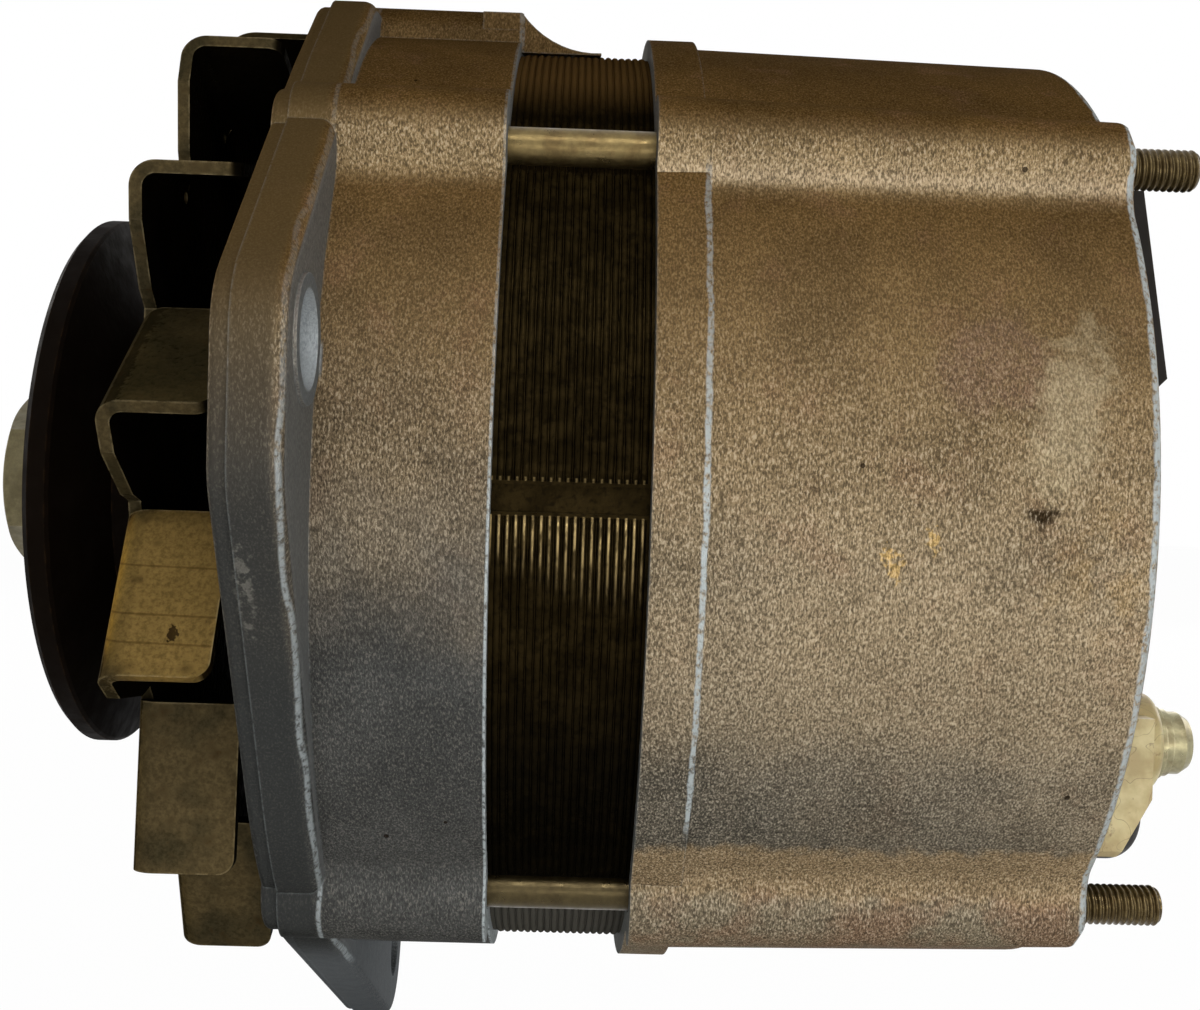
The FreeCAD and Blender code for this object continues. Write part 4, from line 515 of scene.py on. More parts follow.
def flange_mark(look, base):
    """Smoother skin round the flange, darker as painted shade, brown above and grey below, a lug lightened
    by painted light, a rough cast mark, a machined pad, and a bore wall brightened by a painted highlight.
    """
    edge = look.ramp(look.x, FLANGE_REAR_EDGE - 1.6, FLANGE_REAR_EDGE - 0.4, 1.0, 0.0)
    skin = look.times(edge, look.around())
    # Painted shade: the flange's skin darker, brown above and grey below
    tint = look.blend(look.ramp(look.z, *FLANGE_HEIGHTS), FLANGE_LOW_SHADE, FLANGE_HIGH_SHADE)
    base = look.mix(look.times(skin, 0.85), base, tint)
    # Painted light: the lower lug lighter and bluish grey
    lug = look.ramp(look.z, *LUG_HEIGHTS, 0.8, 0.0)
    base = look.cover(base, LUG_LIT_GREY, lug, look.ramp(look.x, *LUG_DEPTH, 1.0, 0.0))
    rough_mark = look.spot(ROUGH_MARK_PLACE, 1.3, 0.6, 0.4, 0.2)
    base = look.cover(base, ROUGH_MARK, rough_mark, look.remap(look.noise(1.2), 0.45, 0.55), 0.32)
    dy = look.plus(look.y, -NEAR_BORE[0] * MM)
    dz = look.plus(look.z, -NEAR_BORE[1] * MM)
    away = look.length(dy, dz)
    beside = look.ramp(look.x, *BEHIND_FLANGE, 1.0, 0.0)
    pad = look.times(look.ramp(away, *NEAR_BORE_PAD, 0.8, 0.0), beside)
    base = look.cover(base, PAD_GREY, pad)
    # Machined bore wall, brightened further by a painted highlight
    base = look.cover(base, BORE_WALL_HIGHLIGHT, look.ramp(away, *NEAR_BORE_WALL, 0.9, 0.0), beside)
    return base, look.either(look.times(skin, 0.85), pad)


def rear_marks(look, base):
    """Lobes lightened by painted light, with their rusty grey lowest skin, a reddish patch, stains, a rubbed
    patch, a pit in painted shade, grime and golden flecks.
    """
    around = look.around()
    near = look.near_side()
    base = lobe_marks(look, base, around)
    ruddy = look.spot(RUDDY_PLACE, 8.6, 0.45, 2.0, 1.35)
    ruddy = look.times(ruddy, look.remap(look.noise(1.0, 3), 0.36, 0.6, 0.5, 1.0))
    base = look.cover(base, RUDDY_PATCH, ruddy, 0.6)
    stain = look.spot(STAIN_PLACE, 9.0, 0.8, 2.5, 0.8)
    base = look.cover(base, GOLDEN_STAIN, stain, look.remap(look.noise(3.5, 4), 0.4, 0.6), 0.25)
    base, patch = rubbed_patch(look, base, near)
    # The pit, dark brown as painted shade
    base = look.cover(base, PIT_SHADE_BROWN, pit_mark(look), near, 0.9)
    grime = look.times(look.ramp(look.x, *GRIME_DEPTH), look.belt(look.z, *GRIME_HEIGHTS, 3.0))
    grime = look.times(grime, look.remap(look.noise(1.4, 3), 0.52, 0.58))
    grime = look.times(grime, look.times(near, look.ramp(look.radius(), *GRIME_RIM)))
    base = look.cover(base, GRIME, grime, 0.9)
    for x, z, radius in GOLDEN_FLECKS:
        base = look.cover(base, FLECK_GOLD, look.spot((x, z), radius, 0.6, 0.6, 0.6), 0.6)
    return base, look.times(patch, 0.3)


def lobe_marks(look, base, around):
    """Painted light on the flanks and undersides of the upper lobes and on the lower lobe's tan band, and
    the lowest skin, grey and rusty by turns.
    """
    # Painted light: the downward flanks and undersides of the upper lobes are paler
    flank = look.band(look.facing_z, -0.36, -0.22, 0.13)
    base = look.cover(base, FLANK_LIT_PALE, look.times(flank, look.ramp(look.z, *FLANK_FOOT)), 0.35)
    under = look.times(look.belt(look.z, *UPPER_LOBE_FOOT, 3.0), look.remap(look.facing_z, 0.3, -0.1))
    base = look.cover(base, UNDER_LOBE_LIT_PALE, look.times(under, around), 0.9)
    # Painted light: the lower lobe's band is a lighter tan
    height = look.plus(look.z, look.wander(look.noise(3.0), 0.6))
    lobe = look.times(look.belt(height, *LOWER_LOBE, 1.6), around)
    base = look.cover(base, LOBE_LIT_TAN, lobe, 0.62)
    lowest = look.times(look.ramp(height, *LOWEST_SKIN, 1.0, 0.0), around)
    rusty = look.blend(look.remap(look.noise(9, 4), 0.4, 0.6), LOWEST_GREY, LOWEST_RUST)
    return look.mix(look.times(lowest, 0.7), base, rusty)


def rubbed_patch(look, base, near):
    """A pale patch, tall and leaning to the rear at its top, and its share."""
    rise = look.minus(look.z, RUBBED_PLACE[1] * MM)
    across = look.minus(look.minus(look.x, look.times(rise, RUBBED_LEAN)), RUBBED_PLACE[0] * MM)
    away = look.length(across, look.times(rise, RUBBED_SQUEEZE))
    away = look.plus(away, look.wander(look.noise(2.0, 4, 0.65), 1.3))
    patch = look.times(look.ramp(away, 1.8, 5.6, 1.0, 0.0), near)
    patch = look.times(patch, look.remap(look.noise(1.6, 4), 0.3, 0.6, 0.6, 1.0))
    return look.cover(base, RUBBED_PALE, patch, 0.6), patch


def pit_mark(look):
    """A small triangular pit with its point down, as the share of its painted shade."""
    below = look.minus(look.z, PIT_PLACE[1] * MM)
    side = look.amount(look.minus(look.x, PIT_PLACE[0] * MM))
    pit = look.minus(look.times(below, 0.95), side)
    pit = look.plus(pit, look.wander(look.noise(0.7), 0.3))
    return look.times(look.ramp(pit, -1.2, 0.7), look.ramp(look.z, -0.3, 0.6, 1.0, 0.0))


def steel(name, colour, stain, rough=0.36, brushed=0.0, metallic=0.75, between_shade=0.0, stud=0.0):
    """Plated or bare steel with stains, rubbed corners and fine scratches, with painted shade on the low
    bolts between the lobes, and studs darkened by soil and painted shade.
    """
    look = Look(name)
    base = look.blend(look.remap(look.noise(2.6, 5, 0.62), 0.42, 0.66, 0.0, 0.5), colour, stain)
    # Painted shade on the low bolts between the housings, where they lie in the notches
    between = look.ramp(look.x, *BEHIND_MOUTH, 1.0, 0.0)
    between = look.times(between, look.ramp(look.z, *LOW_BOLTS, 1.0, 0.0))
    base = look.cover(base, BOLT_SHADE, between, between_shade)
    # Studs darkened by soil and by painted shade of the thread roots
    stud_soil_and_shade = look.remap(look.noise(0.9, 3), 0.36, 0.56, 0.6, 1.0)
    threaded = look.times(look.ramp(look.x, *STUD_START), stud_soil_and_shade)
    base = look.cover(base, THREAD_SOIL_AND_SHADE, threaded, stud)
    base = look.shade(base, look.remap(look.noise(STEEL_GRAIN, 4, 0.7), 0.3, 0.7, 0.86, 1.12))
    worn = look.times(look.edges(0.35), look.remap(look.noise(1.0), 0.35, 0.6))
    base = look.cover(base, brighter(colour, 45), worn, 0.5)
    scratch = look.noise(0.35, 3, 0.6, look.stretched(0.08, 1.0, 1.0))
    height = look.mix(brushed, look.grey(look.noise(STEEL_GRAIN, 3)), look.grey(scratch))
    normal = look.bump(height, 0.03)
    roughness = look.remap(look.noise(1.7, 4), 0.3, 0.7, rough - 0.08, rough + 0.14)
    return look.set(Base_Color=base, Metallic=metallic, Specular_IOR_Level=0.3, Roughness=roughness,
                    Normal=normal)


def paint(name, colour, worn_colour, rough=0.5, grain=0.5, wear=0.6, gloss=0.5):
    """Painted or moulded surface with dust, a fine grain and rubbed corners."""
    look = Look(name)
    dust = look.remap(look.noise(5, 5, 0.6), 0.45, 0.7, 0.0, 0.4)
    base = look.blend(dust, colour, brighter(colour, 9))
    worn = look.times(look.edges(0.5), look.remap(look.noise(1.6, 4), 0.4, 0.6))
    base = look.cover(base, worn_colour, worn, wear)
    normal = look.bump(look.noise(grain, 3), 0.05)
    roughness = look.remap(look.noise(3, 4), 0.3, 0.7, rough - 0.08, rough + 0.1)
    return look.set(Base_Color=base, Specular_IOR_Level=gloss, Roughness=roughness, Normal=normal)


def lamination_look():
    """Dark varnished sheet edges of the stator, with painted shade low down, lighter brown along the top and
    grey along the bottom, and painted golden glints on the crests below the weld groove and at its edges.
    """
    look = Look("lamination_look")
    base = look.blend(look.remap(look.noise(3, 5, 0.65), 0.4, 0.65), VARNISH, VARNISH_PALE)
    base = look.cover(base, VARNISH_SPOT, look.remap(look.noise(0.8, 4), 0.5, 0.66, 0.0, 0.6))
    # Painted shade, darker towards the bottom
    base = look.cover(base, SHEET_SHADE, look.ramp(look.z, *SHEET_SHADE_HEIGHTS, 0.75, 0.0))
    # Lighter brown along the top and lighter grey along the bottom
    base = look.cover(base, SHEET_TOP_BROWN, look.ramp(look.z, *SHEET_TOP_HEIGHTS, 0.0, 0.85))
    base = look.cover(base, SHEET_LOW_GREY, look.ramp(look.z, *SHEET_LOW_HEIGHTS, 0.85, 0.0))
    # Painted golden glints on the sheet crests below the weld groove, fading downwards
    along = look.math("DIVIDE", look.minus(look.x, SHEET_FROM * MM), SHEET_STEP * MM)
    off_crest = look.amount(look.minus(look.math("FRACT", along), 0.5))
    crest = look.times(look.remap(off_crest, 0.05, 0.2, 1.0, 0.0), look.near_side())
    reach = look.ramp(look.x, *GLINT_ENDS, GLINT_FRONT_REACH * MM, GLINT_REAR_REACH * MM)
    fall = look.remap(look.math("DIVIDE", look.z, reach), 0.25, 1.0, 1.0, 0.0)
    below = look.times(look.ramp(look.z, *GLINT_TOP, 1.0, 0.0), fall)
    streak = look.noise(0.9, 3.0, 0.6, look.stretched(1.0, 0.2, 0.35))
    glint = look.times(look.times(crest, below), look.remap(streak, 0.36, 0.6, 0.15, 1.0))
    base = look.cover(base, SHEET_GLINT, glint, 0.75)
    # Painted glints at the sheet ends on both edges of the weld groove
    from_groove = look.amount(look.minus(look.z, WELD_GROOVE * MM))
    tick_glints = look.times(look.belt(from_groove, *WELD_GROOVE_EDGES, 0.1), crest)
    base = look.cover(base, SHEET_TICK_GLINT, tick_glints, 0.45)
    normal = look.bump(look.noise(0.7, 3), 0.06)
    rough = look.remap(look.noise(1.5, 3), 0.3, 0.7, 0.28, 0.46)
    metal = look.ramp(look.amount(look.z), *SHEET_DULL_HEIGHTS, 0.35, 0.0)
    return look.set(Base_Color=base, Metallic=metal, Specular_IOR_Level=0.0, Roughness=rough,
                    Normal=normal, Specular_Tint=GRAZING_TINT)


def fan_look():
    """Zinc-plated fan sheet: painted golden light on the patch that faces the lamps, grey-brown low down,
    painted shade on upward faces, in a pit and inside.
    """
    look = Look("fan_look")
    # Painted light: the patch that faces the lamps is golden, and the scratches show only there
    golden = look.spot(FAN_LIT_PLACE, 11.5, 0.25)
    base = look.blend(look.remap(look.noise(11, 4, 0.6), 0.4, 0.62), FAN_ZINC, FAN_ZINC_DARK)
    base = look.cover(base, FAN_LIT_GOLD, golden)
    # Painted shade on the faces that look up
    base = look.cover(base, FAN_UPWARD_SHADE, look.remap(look.facing_z, 0.1, 0.6, 0.0, 0.6))
    base = look.cover(base, FAN_STAIN, look.remap(look.noise(2.4, 5, 0.7), 0.56, 0.72, 0.0, 0.75))
    base = look.shade(base, look.remap(look.noise(0.6, 4, 0.7), 0.3, 0.7, 0.7, 1.28))
    sloped = look.plus(look.z, look.times(look.x, FAN_SCRATCH_SLOPE))
    for height in FAN_SCRATCHES:
        scratch = look.belt(sloped, height, height + 0.1, 0.12)
        base = look.cover(base, FAN_SCRATCH, scratch, golden, 0.5)
    # A pit, dark as painted shade
    base = look.cover(base, FAN_PIT_SHADE, look.spot(FAN_PIT_PLACE, 0.6, 0.3, 0.3, 0.6), 0.9)
    worn = look.times(look.edges(0.4), look.remap(look.noise(1.3, 4), 0.4, 0.58))
    base = look.cover(base, FAN_WORN, worn, 0.55)
    # Painted shade inside the fan, on faces that look to the rear or towards the shaft
    rear = look.remap(look.facing_x, 0.35, 0.7)
    inside = look.either(rear, look.remap(look.outward(), -0.1, -0.45))
    base = look.cover(base, FAN_INNER_SHADE, inside, 0.92)
    normal = look.bump(look.noise(1.2, 4), 0.05)
    rough = look.remap(look.noise(2.0, 4), 0.3, 0.7, 0.4, 0.58)
    return look.set(Base_Color=base, Metallic=0.45, Specular_IOR_Level=0.0, Roughness=rough,
                    Normal=normal, Specular_Tint=GRAZING_TINT)


def copper_look(name, colour, darker):
    """Enamelled wire under varnish."""
    look = Look(name)
    base = look.blend(look.remap(look.noise(4, 4), 0.35, 0.65), colour, darker)
    normal = look.bump(look.noise(0.6, 3), 0.08)
    return look.set(Base_Color=base, Metallic=0.6, Roughness=0.34, Normal=normal)


def cream_look():
    """Cream moulded plastic with brown stains and dark hairline cracks."""
    look = Look("cream_look")
    base = look.blend(look.remap(look.noise(4.5, 4), 0.35, 0.65), CREAM, CREAM_SOILED)
    base = look.cover(base, CREAM_STAIN, look.remap(look.noise(2.2, 5, 0.7), 0.58, 0.72, 0.0, 0.8))
    line = look.band(look.noise(3.4, 1.0, 0.4, None, 0.4), 0.497, 0.503, 0.004)
    base = look.cover(base, CREAM_CRACK, line, 0.5)
    normal = look.bump(look.noise(0.7, 3), 0.05)
    return look.set(Base_Color=base, Roughness=0.42, Normal=normal, Subsurface_Weight=0.05)


def off_flat_faces(look):
    """1 away from the flat faces that look along the shaft."""
    return look.remap(look.amount(look.facing_x), 0.92, 0.99, 1.0, 0.0)


def lip_seam(look):
    """Bright line along the rear housing's step, broken above and whole below: bare metal with a painted
    edge highlight.
    """
    shift = look.times(look.minus(look.noise(5), 0.5), 0.9 * MM)
    line = look.belt(look.plus(look.x, shift), LIP_EDGE - 0.45, LIP_EDGE + 0.05, 0.25)
    reach = look.ramp(look.amount(look.z), LIP_SEAM_REACH - LIP_SEAM_FADE, LIP_SEAM_REACH, 1.0, 0.0)
    above = look.ramp(look.z, -5, 30, 1.0, 0.55)
    return look.times(line, look.times(reach, above))


def rim_seam(look):
    """Bright line round the rear rim: bare metal with a painted edge highlight."""
    shift = look.times(look.minus(look.noise(4), 0.5), 1.0 * MM)
    line = look.belt(look.plus(look.x, shift), REAR_EDGE + 0.55, REAR_EDGE + 1.2, 0.35)
    return look.times(line, off_flat_faces(look))


def skirt_seam(look):
    """Bright rubbed edge of the front housing's skirt, on its lower half, with a painted edge highlight."""
    edge = look.belt(look.x, SKIRT_EDGE - 0.2, SKIRT_EDGE + 0.3, 0.2)
    return look.times(edge, look.ramp(look.z, -10, 30, 1.0, 0.3))


def flange_seam(look):
    """Bright wavy edge along the rear of the flange, on its lower half: rubbed bare metal with a painted
    edge highlight.
    """
    along = look.plus(look.x, look.wander(look.noise(12, 1.0, 0.4), 0.25))
    edge = look.belt(along, FLANGE_REAR_EDGE - 0.7, FLANGE_REAR_EDGE - 0.45, 0.25)
    edge = look.times(edge, off_flat_faces(look))
    edge = look.times(edge, look.ramp(look.z, *ABOVE_LUG))
    rim = look.ramp(look.radius(), *FLANGE_RIM)
    return look.times(look.times(edge, rim), look.ramp(look.z, 0, 20, 0.65, 0.15))


LOOKS = {
    "casting_front": casting("front_casting_look", [skirt_seam, flange_seam], [flange_mark]),
    "casting_rear": casting("rear_casting_look", [lip_seam, rim_seam], [rear_marks]),
    "lamination": lamination_look(),
    "zinc_steel": steel("zinc_steel_look", STEEL_ZINC, STEEL_ZINC_STAIN, rough=0.34, brushed=0.7),
    "bolt": steel("bolt_look", STEEL_ZINC, STEEL_ZINC_STAIN, rough=0.34, brushed=0.7, between_shade=0.75, stud=0.8),
    "bright_steel": steel("bright_steel_look", (156, 150, 118), (106, 90, 62), rough=0.34),
    "bearing_steel": steel("bearing_steel_look", (176, 176, 174), (140, 130, 112), rough=0.2,
                           brushed=0.3),
    "fan_sheet": fan_look(),
    "black_steel": paint("black_steel_look", (15, 10, 6), (58, 42, 26), rough=0.6, grain=1.2,
                         gloss=0.02),
    "plated_nut": steel("plated_nut_look", (106, 98, 71), (74, 66, 42), rough=0.42, metallic=0.5),
    "pole_iron": steel("pole_iron_look", (104, 96, 86), (70, 48, 32), rough=0.46, brushed=0.4),
    "copper": copper_look("copper_look", (150, 82, 44), (112, 56, 30)),
    "ring_copper": steel("ring_copper_look", (206, 140, 96), (150, 92, 58), rough=0.24, brushed=1.0),
    "black_plastic": paint("black_plastic_look", (24, 20, 16), (66, 55, 40), grain=0.4, wear=0.35,
                           gloss=0.15),
    "cream_plastic": cream_look(),
    "carbon": paint("carbon_look", (44, 43, 42), (78, 76, 74), rough=0.6, wear=0.3),
    "sheet_aluminium": steel("sheet_aluminium_look", (178, 176, 170), (128, 120, 104), brushed=0.6),
    "diode_metal": steel("diode_metal_look", (164, 160, 148), (124, 112, 88), rough=0.34),
}

NODE_SLOTS = {part["node"]: part.get("slot") or part.get("material_slot")
              for part in frame["record"]["subparts"]}


def dress(obj, look):
    """Gives every face of a piece one material."""
    obj.data.materials.clear()
    obj.data.materials.append(look)
    for face in obj.data.polygons:
        face.material_index = 0


for node, obj in frame["nodes"].items():
    key = NODE_SLOTS[node]
    if node == "drive_end_housing":
        key = "casting_front"
    if node == "rear_housing":
        key = "casting_rear"
    dress(obj, LOOKS[key])


# Mesh helpers

def piece(name, verts, faces, body, look):
    """A smooth mesh piece that rides on a body and wears the given look."""
    mesh = bpy.data.meshes.new(name)
    mesh.from_pydata(verts, [], faces)
    mesh.validate()
    mesh.update()
    obj = bpy.data.objects.new(name, mesh)
    bpy.context.scene.collection.objects.link(obj)
    dress(obj, look)
    for face in mesh.polygons:
        face.use_smooth = True
    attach(obj, body)
    return obj


def lofted(rings):
    """Vertices and faces of a closed skin over rings that have the same number of points."""
    verts = [p for r in rings for p in r]
    count = len(rings[0])
    faces = []
    for k in range(len(rings) - 1):
        for i in range(count):
            j = (i + 1) % count
            faces.append((k * count + i, k * count + j, (k + 1) * count + j, (k + 1) * count + i))
    faces.append(tuple(range(count - 1, -1, -1)))
    faces.append(tuple((len(rings) - 1) * count + i for i in range(count)))
    return verts, faces


def join(verts, faces, rings):
    """Adds a skin over the rings to a mesh's vertices and faces."""
    more, more_faces = lofted(rings)
    base = len(verts)
    verts += more
    faces += [tuple(base + i for i in face) for face in more_faces]


def polar(x, radius, degrees):
    """Point in metres at a radius from the shaft, at an angle from the near side towards the top."""
    turn = math.radians(degrees)
    return Vector((x * MM, -radius * math.cos(turn) * MM, radius * math.sin(turn) * MM))


# Stator sheets: the rounded edges of the stacked laminations between the two housings

SHEET_RISE = 0.24
SHEET_RISE_SPREAD = 0.05
SHEET_SHIFT_SPREAD = 0.03
SHEET_END_SHARE = 0.2
GROOVE_MIDDLE = -0.4
GROOVE_HALF = 1.75
NOTCH_MIDDLE = 40.0
NOTCH_HALF = 2.75
SHEET_SECTION = ((-0.46, -0.12), (-0.27, 0.72), (0.0, 1.0), (0.27, 0.72), (0.46, -0.12))
ARC_STEPS = 30


def lamination_sheets():
    """Rounded edges of the sheets, broken at the weld grooves and at the bolt notches."""
    verts, faces = [], []
    stops = []
    for quarter in range(4):
        stops.append((GROOVE_MIDDLE + 90 * quarter, GROOVE_HALF))
        stops.append((NOTCH_MIDDLE + 90 * quarter, NOTCH_HALF))
    for k in range(SHEETS):
        middle = SHEET_FROM + (k + 0.5) * SHEET_STEP
        for i, (place, half) in enumerate(stops):
            following, following_half = stops[(i + 1) % len(stops)]
            start = place + half
            end = following - following_half + (360 if following < place else 0)
            rings = []
            for s in range(ARC_STEPS + 1):
                angle = start + (end - start) * s / ARC_STEPS
                x = middle + RANDOM.uniform(-SHEET_SHIFT_SPREAD, SHEET_SHIFT_SPREAD)
                lift = SHEET_RISE + RANDOM.uniform(-SHEET_RISE_SPREAD, SHEET_RISE_SPREAD)
                if s in (0, ARC_STEPS):
                    lift *= SHEET_END_SHARE
                rings.append([polar(x + across * SHEET_STEP, STATOR_RADIUS + rise * lift, angle)
                              for across, rise in SHEET_SECTION])
            join(verts, faces, rings)
    piece("lamination_sheets", verts, faces, "housing", LOOKS["lamination"])


lamination_sheets()


# Through-bolts with their rolled threads

BOLT_CIRCLE = 64.0
BOLT_ANGLES = (40.0, 130.0, 220.0, 310.0)
UPPER_STUD = 8.5
LOWER_STUD = 10.2
TIP_CHAMFER = 0.15
ROUND_STEPS = 32
CLOSED_RADIUS = 0.05
SOCKET_RADIUS = 2.3
SOCKET_DEPTH = 1.6
HEAD_FRONT = -100.1
HEAD_RADIUS = 4.2
HEAD_HEIGHT = 4.0
SHANK_RADIUS = 2.3
SHANK_START = HEAD_FRONT + HEAD_HEIGHT + 0.3
SHANK_END = -0.4
SHANK_RINGS = 19
HEAD_PROFILE = ((SOCKET_DEPTH, CLOSED_RADIUS), (SOCKET_DEPTH, SOCKET_RADIUS - 0.2), (0.3, SOCKET_RADIUS),
                (0.0, SOCKET_RADIUS + 0.3), (0.0, HEAD_RADIUS - 0.5), (0.15, HEAD_RADIUS - 0.15),
                (0.5, HEAD_RADIUS), (HEAD_HEIGHT, HEAD_RADIUS), (HEAD_HEIGHT, SHANK_RADIUS + 0.2))
THREAD_CREST = 2.5
THREAD_ROOT = 2.12
THREAD_PITCH = 0.8
RINGS_PER_TURN = 8
THREAD_END_GAP = 0.02
LEAD_IN = 0.5
LEAD_FLOOR = 0.05
FLANK_SLOPE = 1.35
ROOT_FLAT = 0.1


def ring(x, centre, radii):
    """Ring of points round an axis along X through the centre, one for each radius."""
    points = []
    for i, radius in enumerate(radii):
        turn = 2 * math.pi * i / ROUND_STEPS
        points.append(Vector((x * MM, centre.y + radius * MM * math.cos(turn),
                              centre.z + radius * MM * math.sin(turn))))
    return points


def circle(x, centre, radius):
    """Ring of points at one radius."""
    return ring(x, centre, [radius] * ROUND_STEPS)


def thread_rings(end, centre):
    """Rings of a rolled thread from the rear face to end; its crest is a helix that fades at both ends."""
    rings = []
    steps = int(end / THREAD_PITCH * RINGS_PER_TURN)
    for s in range(steps + 1):
        x = end * s / steps
        fade = min(1.0, x / LEAD_IN + LEAD_FLOOR, (end - x) / LEAD_IN + LEAD_FLOOR)
        radii = []
        for i in range(ROUND_STEPS):
            phase = (x / THREAD_PITCH - i / ROUND_STEPS) % 1.0
            rise = min(1.0, max(0.0, FLANK_SLOPE * (1 - abs(2 * phase - 1)) - ROOT_FLAT))
            if x < LEAD_IN:
                rise = 1 - fade + fade * rise
            if x > end - LEAD_IN:
                rise = min(rise, max(0.0, (end - x) / LEAD_IN))
            radii.append(THREAD_ROOT + (THREAD_CREST - THREAD_ROOT) * rise)
        rings.append(ring(x, centre, radii))
    return rings


def through_bolts():
    """Four socket-head bolts as one piece, whose low studs are longer."""
    verts, faces = [], []
    for angle in BOLT_ANGLES:
        centre = polar(0, BOLT_CIRCLE, angle)
        tip = UPPER_STUD if centre.z > 0 else LOWER_STUD
        rings = [circle(HEAD_FRONT + x, centre, radius) for x, radius in HEAD_PROFILE]
        for k in range(SHANK_RINGS + 1):
            x = SHANK_START + (SHANK_END - SHANK_START) * k / SHANK_RINGS
            rings.append(circle(x, centre, SHANK_RADIUS))
        rings += thread_rings(tip - THREAD_END_GAP, centre)
        rings.append(circle(tip, centre, THREAD_ROOT - TIP_CHAMFER))
        rings.append(circle(tip, centre, CLOSED_RADIUS))
        join(verts, faces, rings)
    bolts = piece("through_bolts_threaded", verts, faces, "housing", LOOKS["bolt"])
    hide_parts("through_bolts")


through_bolts()


# Brush springs, copied from their CAD pieces, in metres


def shortening_spring(node):
    """A copy of the CAD spring, which rides on the housing while the CAD spring is hidden."""
    mesh = frame["nodes"][node].data
    verts = [tuple(vertex.co) for vertex in mesh.vertices]
    faces = [tuple(face.vertices) for face in mesh.polygons]
    key = NODE_SLOTS[node]
    spring = piece(node + "_coil", verts, faces, "housing", LOOKS[key])
    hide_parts(node)
    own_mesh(spring)


shortening_spring("brush_spring_inner")
shortening_spring("brush_spring_outer")


# Shading of the CAD nodes, whose own normals keep their corners sharp

for obj in frame["nodes"].values():
    for face in obj.data.polygons:
        face.use_smooth = True


# Stage and light

FLOOR_GAP = 0.0002
FLOOR_REACH = 4.0
FLOOR_WHITE = 0.98
SOFT_LIGHT = (1.0, 0.87, 0.68, 1.0)
SOFT_STRENGTH = 0.06
MIDDLE = (-0.05, 0.0, 0.0)
WARM = (1.0, 0.97, 0.93)


def seen_ray(nodes, links):
    """1 for camera, glossy and transmission rays, which see the plain white background."""
    path = nodes.new("ShaderNodeLightPath")
    seen = path.outputs["Is Camera Ray"]
    for name in ("Is Glossy Ray", "Is Transmission Ray"):
        either = nodes.new("ShaderNodeMath")
        either.operation = "MAXIMUM"
        links.new(seen, either.inputs[0])
        links.new(path.outputs[name], either.inputs[1])
        seen = either.outputs[0]
    return seen


def plain_stage():
    """Pale floor that looks white to the camera and keeps the object's shadow."""
    low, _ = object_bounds()
    z = low.z - FLOOR_GAP
    signs = ((-1, -1), (1, -1), (1, 1), (-1, 1))
    mesh = bpy.data.meshes.new("floor")
    mesh.from_pydata([(x * FLOOR_REACH, y * FLOOR_REACH, z) for x, y in signs], [], [(0, 1, 2, 3)])
    floor = bpy.data.objects.new("floor", mesh)
    bpy.context.scene.collection.objects.link(floor)
    look = Look("floor_look")
    material = look.set(Base_Color=(0.8, 0.8, 0.79, 1.0), Roughness=0.8)
    white = look.nodes.new("ShaderNodeEmission")
    white.inputs["Strength"].default_value = 1.0
    share = look.math("MULTIPLY", seen_ray(look.nodes, look.links), FLOOR_WHITE)
    mix = look.nodes.new("ShaderNodeMixShader")
    look.links.new(share, mix.inputs[0])
    look.links.new(look.shader.outputs[0], mix.inputs[1])
    look.links.new(white.outputs[0], mix.inputs[2])
    look.links.new(mix.outputs[0], look.output.inputs[0])
    floor.data.materials.append(material)


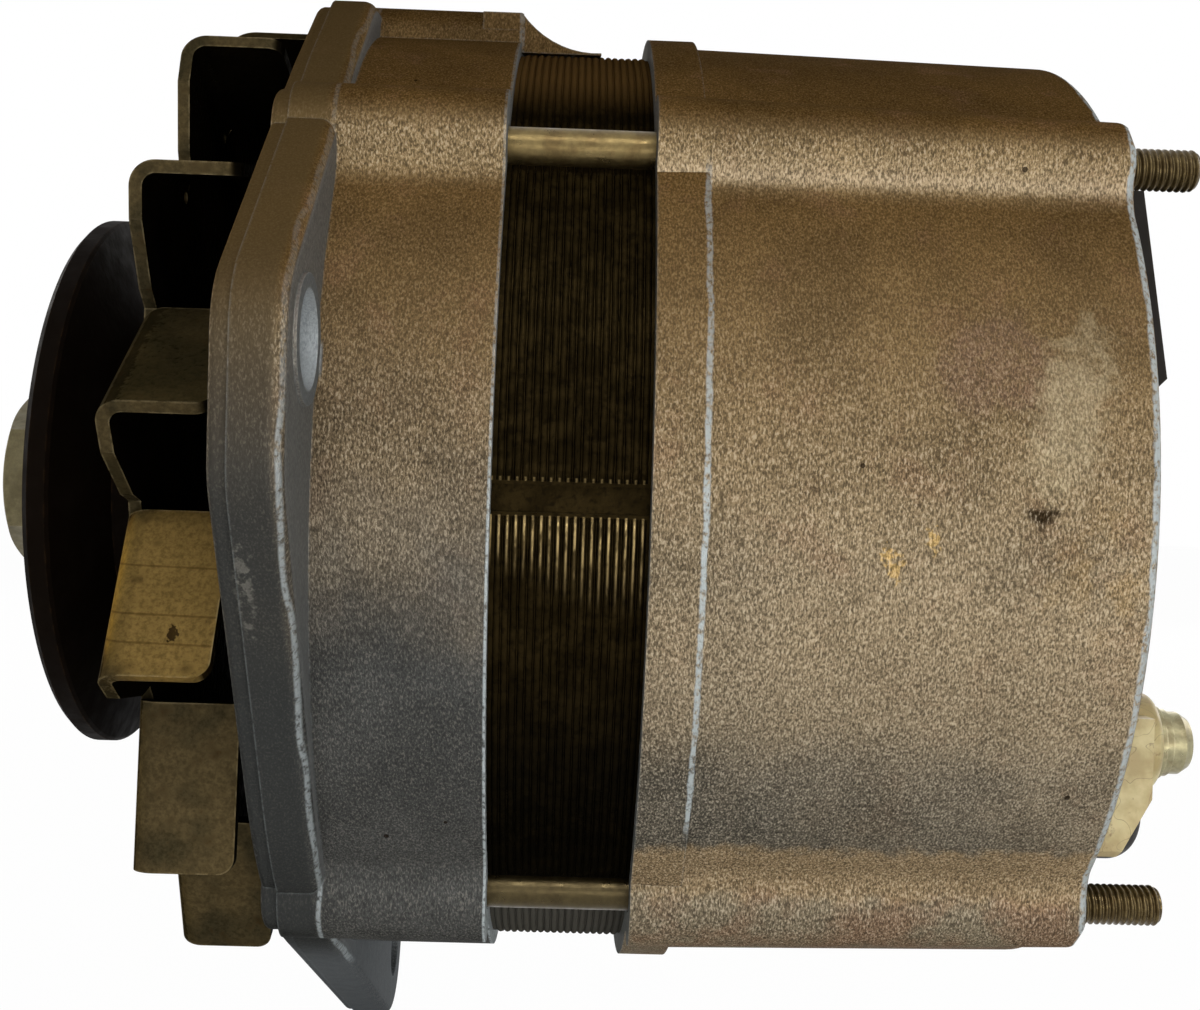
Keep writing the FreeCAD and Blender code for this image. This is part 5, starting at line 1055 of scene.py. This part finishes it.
def plain_world():
    """Weak even light, seen by the camera and in reflections as white."""
    world = bpy.data.worlds.new("studio")
    world.use_nodes = True
    tree = world.node_tree
    tree.nodes.clear()
    out = tree.nodes.new("ShaderNodeOutputWorld")
    soft = tree.nodes.new("ShaderNodeBackground")
    soft.inputs[0].default_value = SOFT_LIGHT
    soft.inputs[1].default_value = SOFT_STRENGTH
    white = tree.nodes.new("ShaderNodeBackground")
    white.inputs[0].default_value = (1, 1, 1, 1)
    white.inputs[1].default_value = 1.0
    mix = tree.nodes.new("ShaderNodeMixShader")
    tree.links.new(seen_ray(tree.nodes, tree.links), mix.inputs[0])
    tree.links.new(soft.outputs[0], mix.inputs[1])
    tree.links.new(white.outputs[0], mix.inputs[2])
    tree.links.new(mix.outputs[0], out.inputs[0])
    bpy.context.scene.world = world


def softbox(name, place, aim, size, power, colour, spread=180.0):
    """A rectangular lamp at a place, turned to its aim."""
    data = bpy.data.lights.new(name, "AREA")
    data.shape = "RECTANGLE"
    data.size, data.size_y = size
    data.energy = power
    data.color = colour
    data.spread = math.radians(spread)
    light = bpy.data.objects.new(name, data)
    light.location = place
    direction = Vector(aim) - Vector(place)
    light.rotation_euler = direction.to_track_quat("-Z", "Y").to_euler()
    bpy.context.scene.collection.objects.link(light)


def lights():
    """A low key and a weaker second lamp beside the camera, others above it and at its right, and three
    for the sides that it doesn't see."""
    softbox("key", (0.1, -0.5, -0.045), (-0.03, 0.0, -0.02), (0.34, 0.075), 0.62, (1.0, 0.96, 0.9))
    softbox("second", (-0.3, -0.6, 0.1), MIDDLE, (0.34, 0.25), 0.11, (0.98, 0.98, 0.98))
    softbox("bounce", (0.0, -0.6, 0.5), (-0.03, -0.3, -0.09), (0.4, 0.2), 0.7, WARM, 60.0)
    softbox("top", (0.1, -0.3, 0.85), MIDDLE, (0.7, 0.5), 0.04, (1.0, 0.78, 0.5))
    softbox("side", (0.6, -0.3, -0.02), MIDDLE, (0.3, 0.14), 0.25, (0.85, 0.93, 1.0))
    softbox("back", (0.1, 0.95, 0.35), MIDDLE, (0.8, 0.6), 4.2, WARM)
    softbox("pulley_side", (-0.9, 0.5, 0.3), MIDDLE, (0.6, 0.5), 3.6, WARM)
    softbox("terminal_side", (0.9, 0.5, 0.3), MIDDLE, (0.6, 0.5), 2.6, WARM)


plain_stage()
plain_world()
lights()
bpy.context.scene.view_settings.view_transform = "Standard"
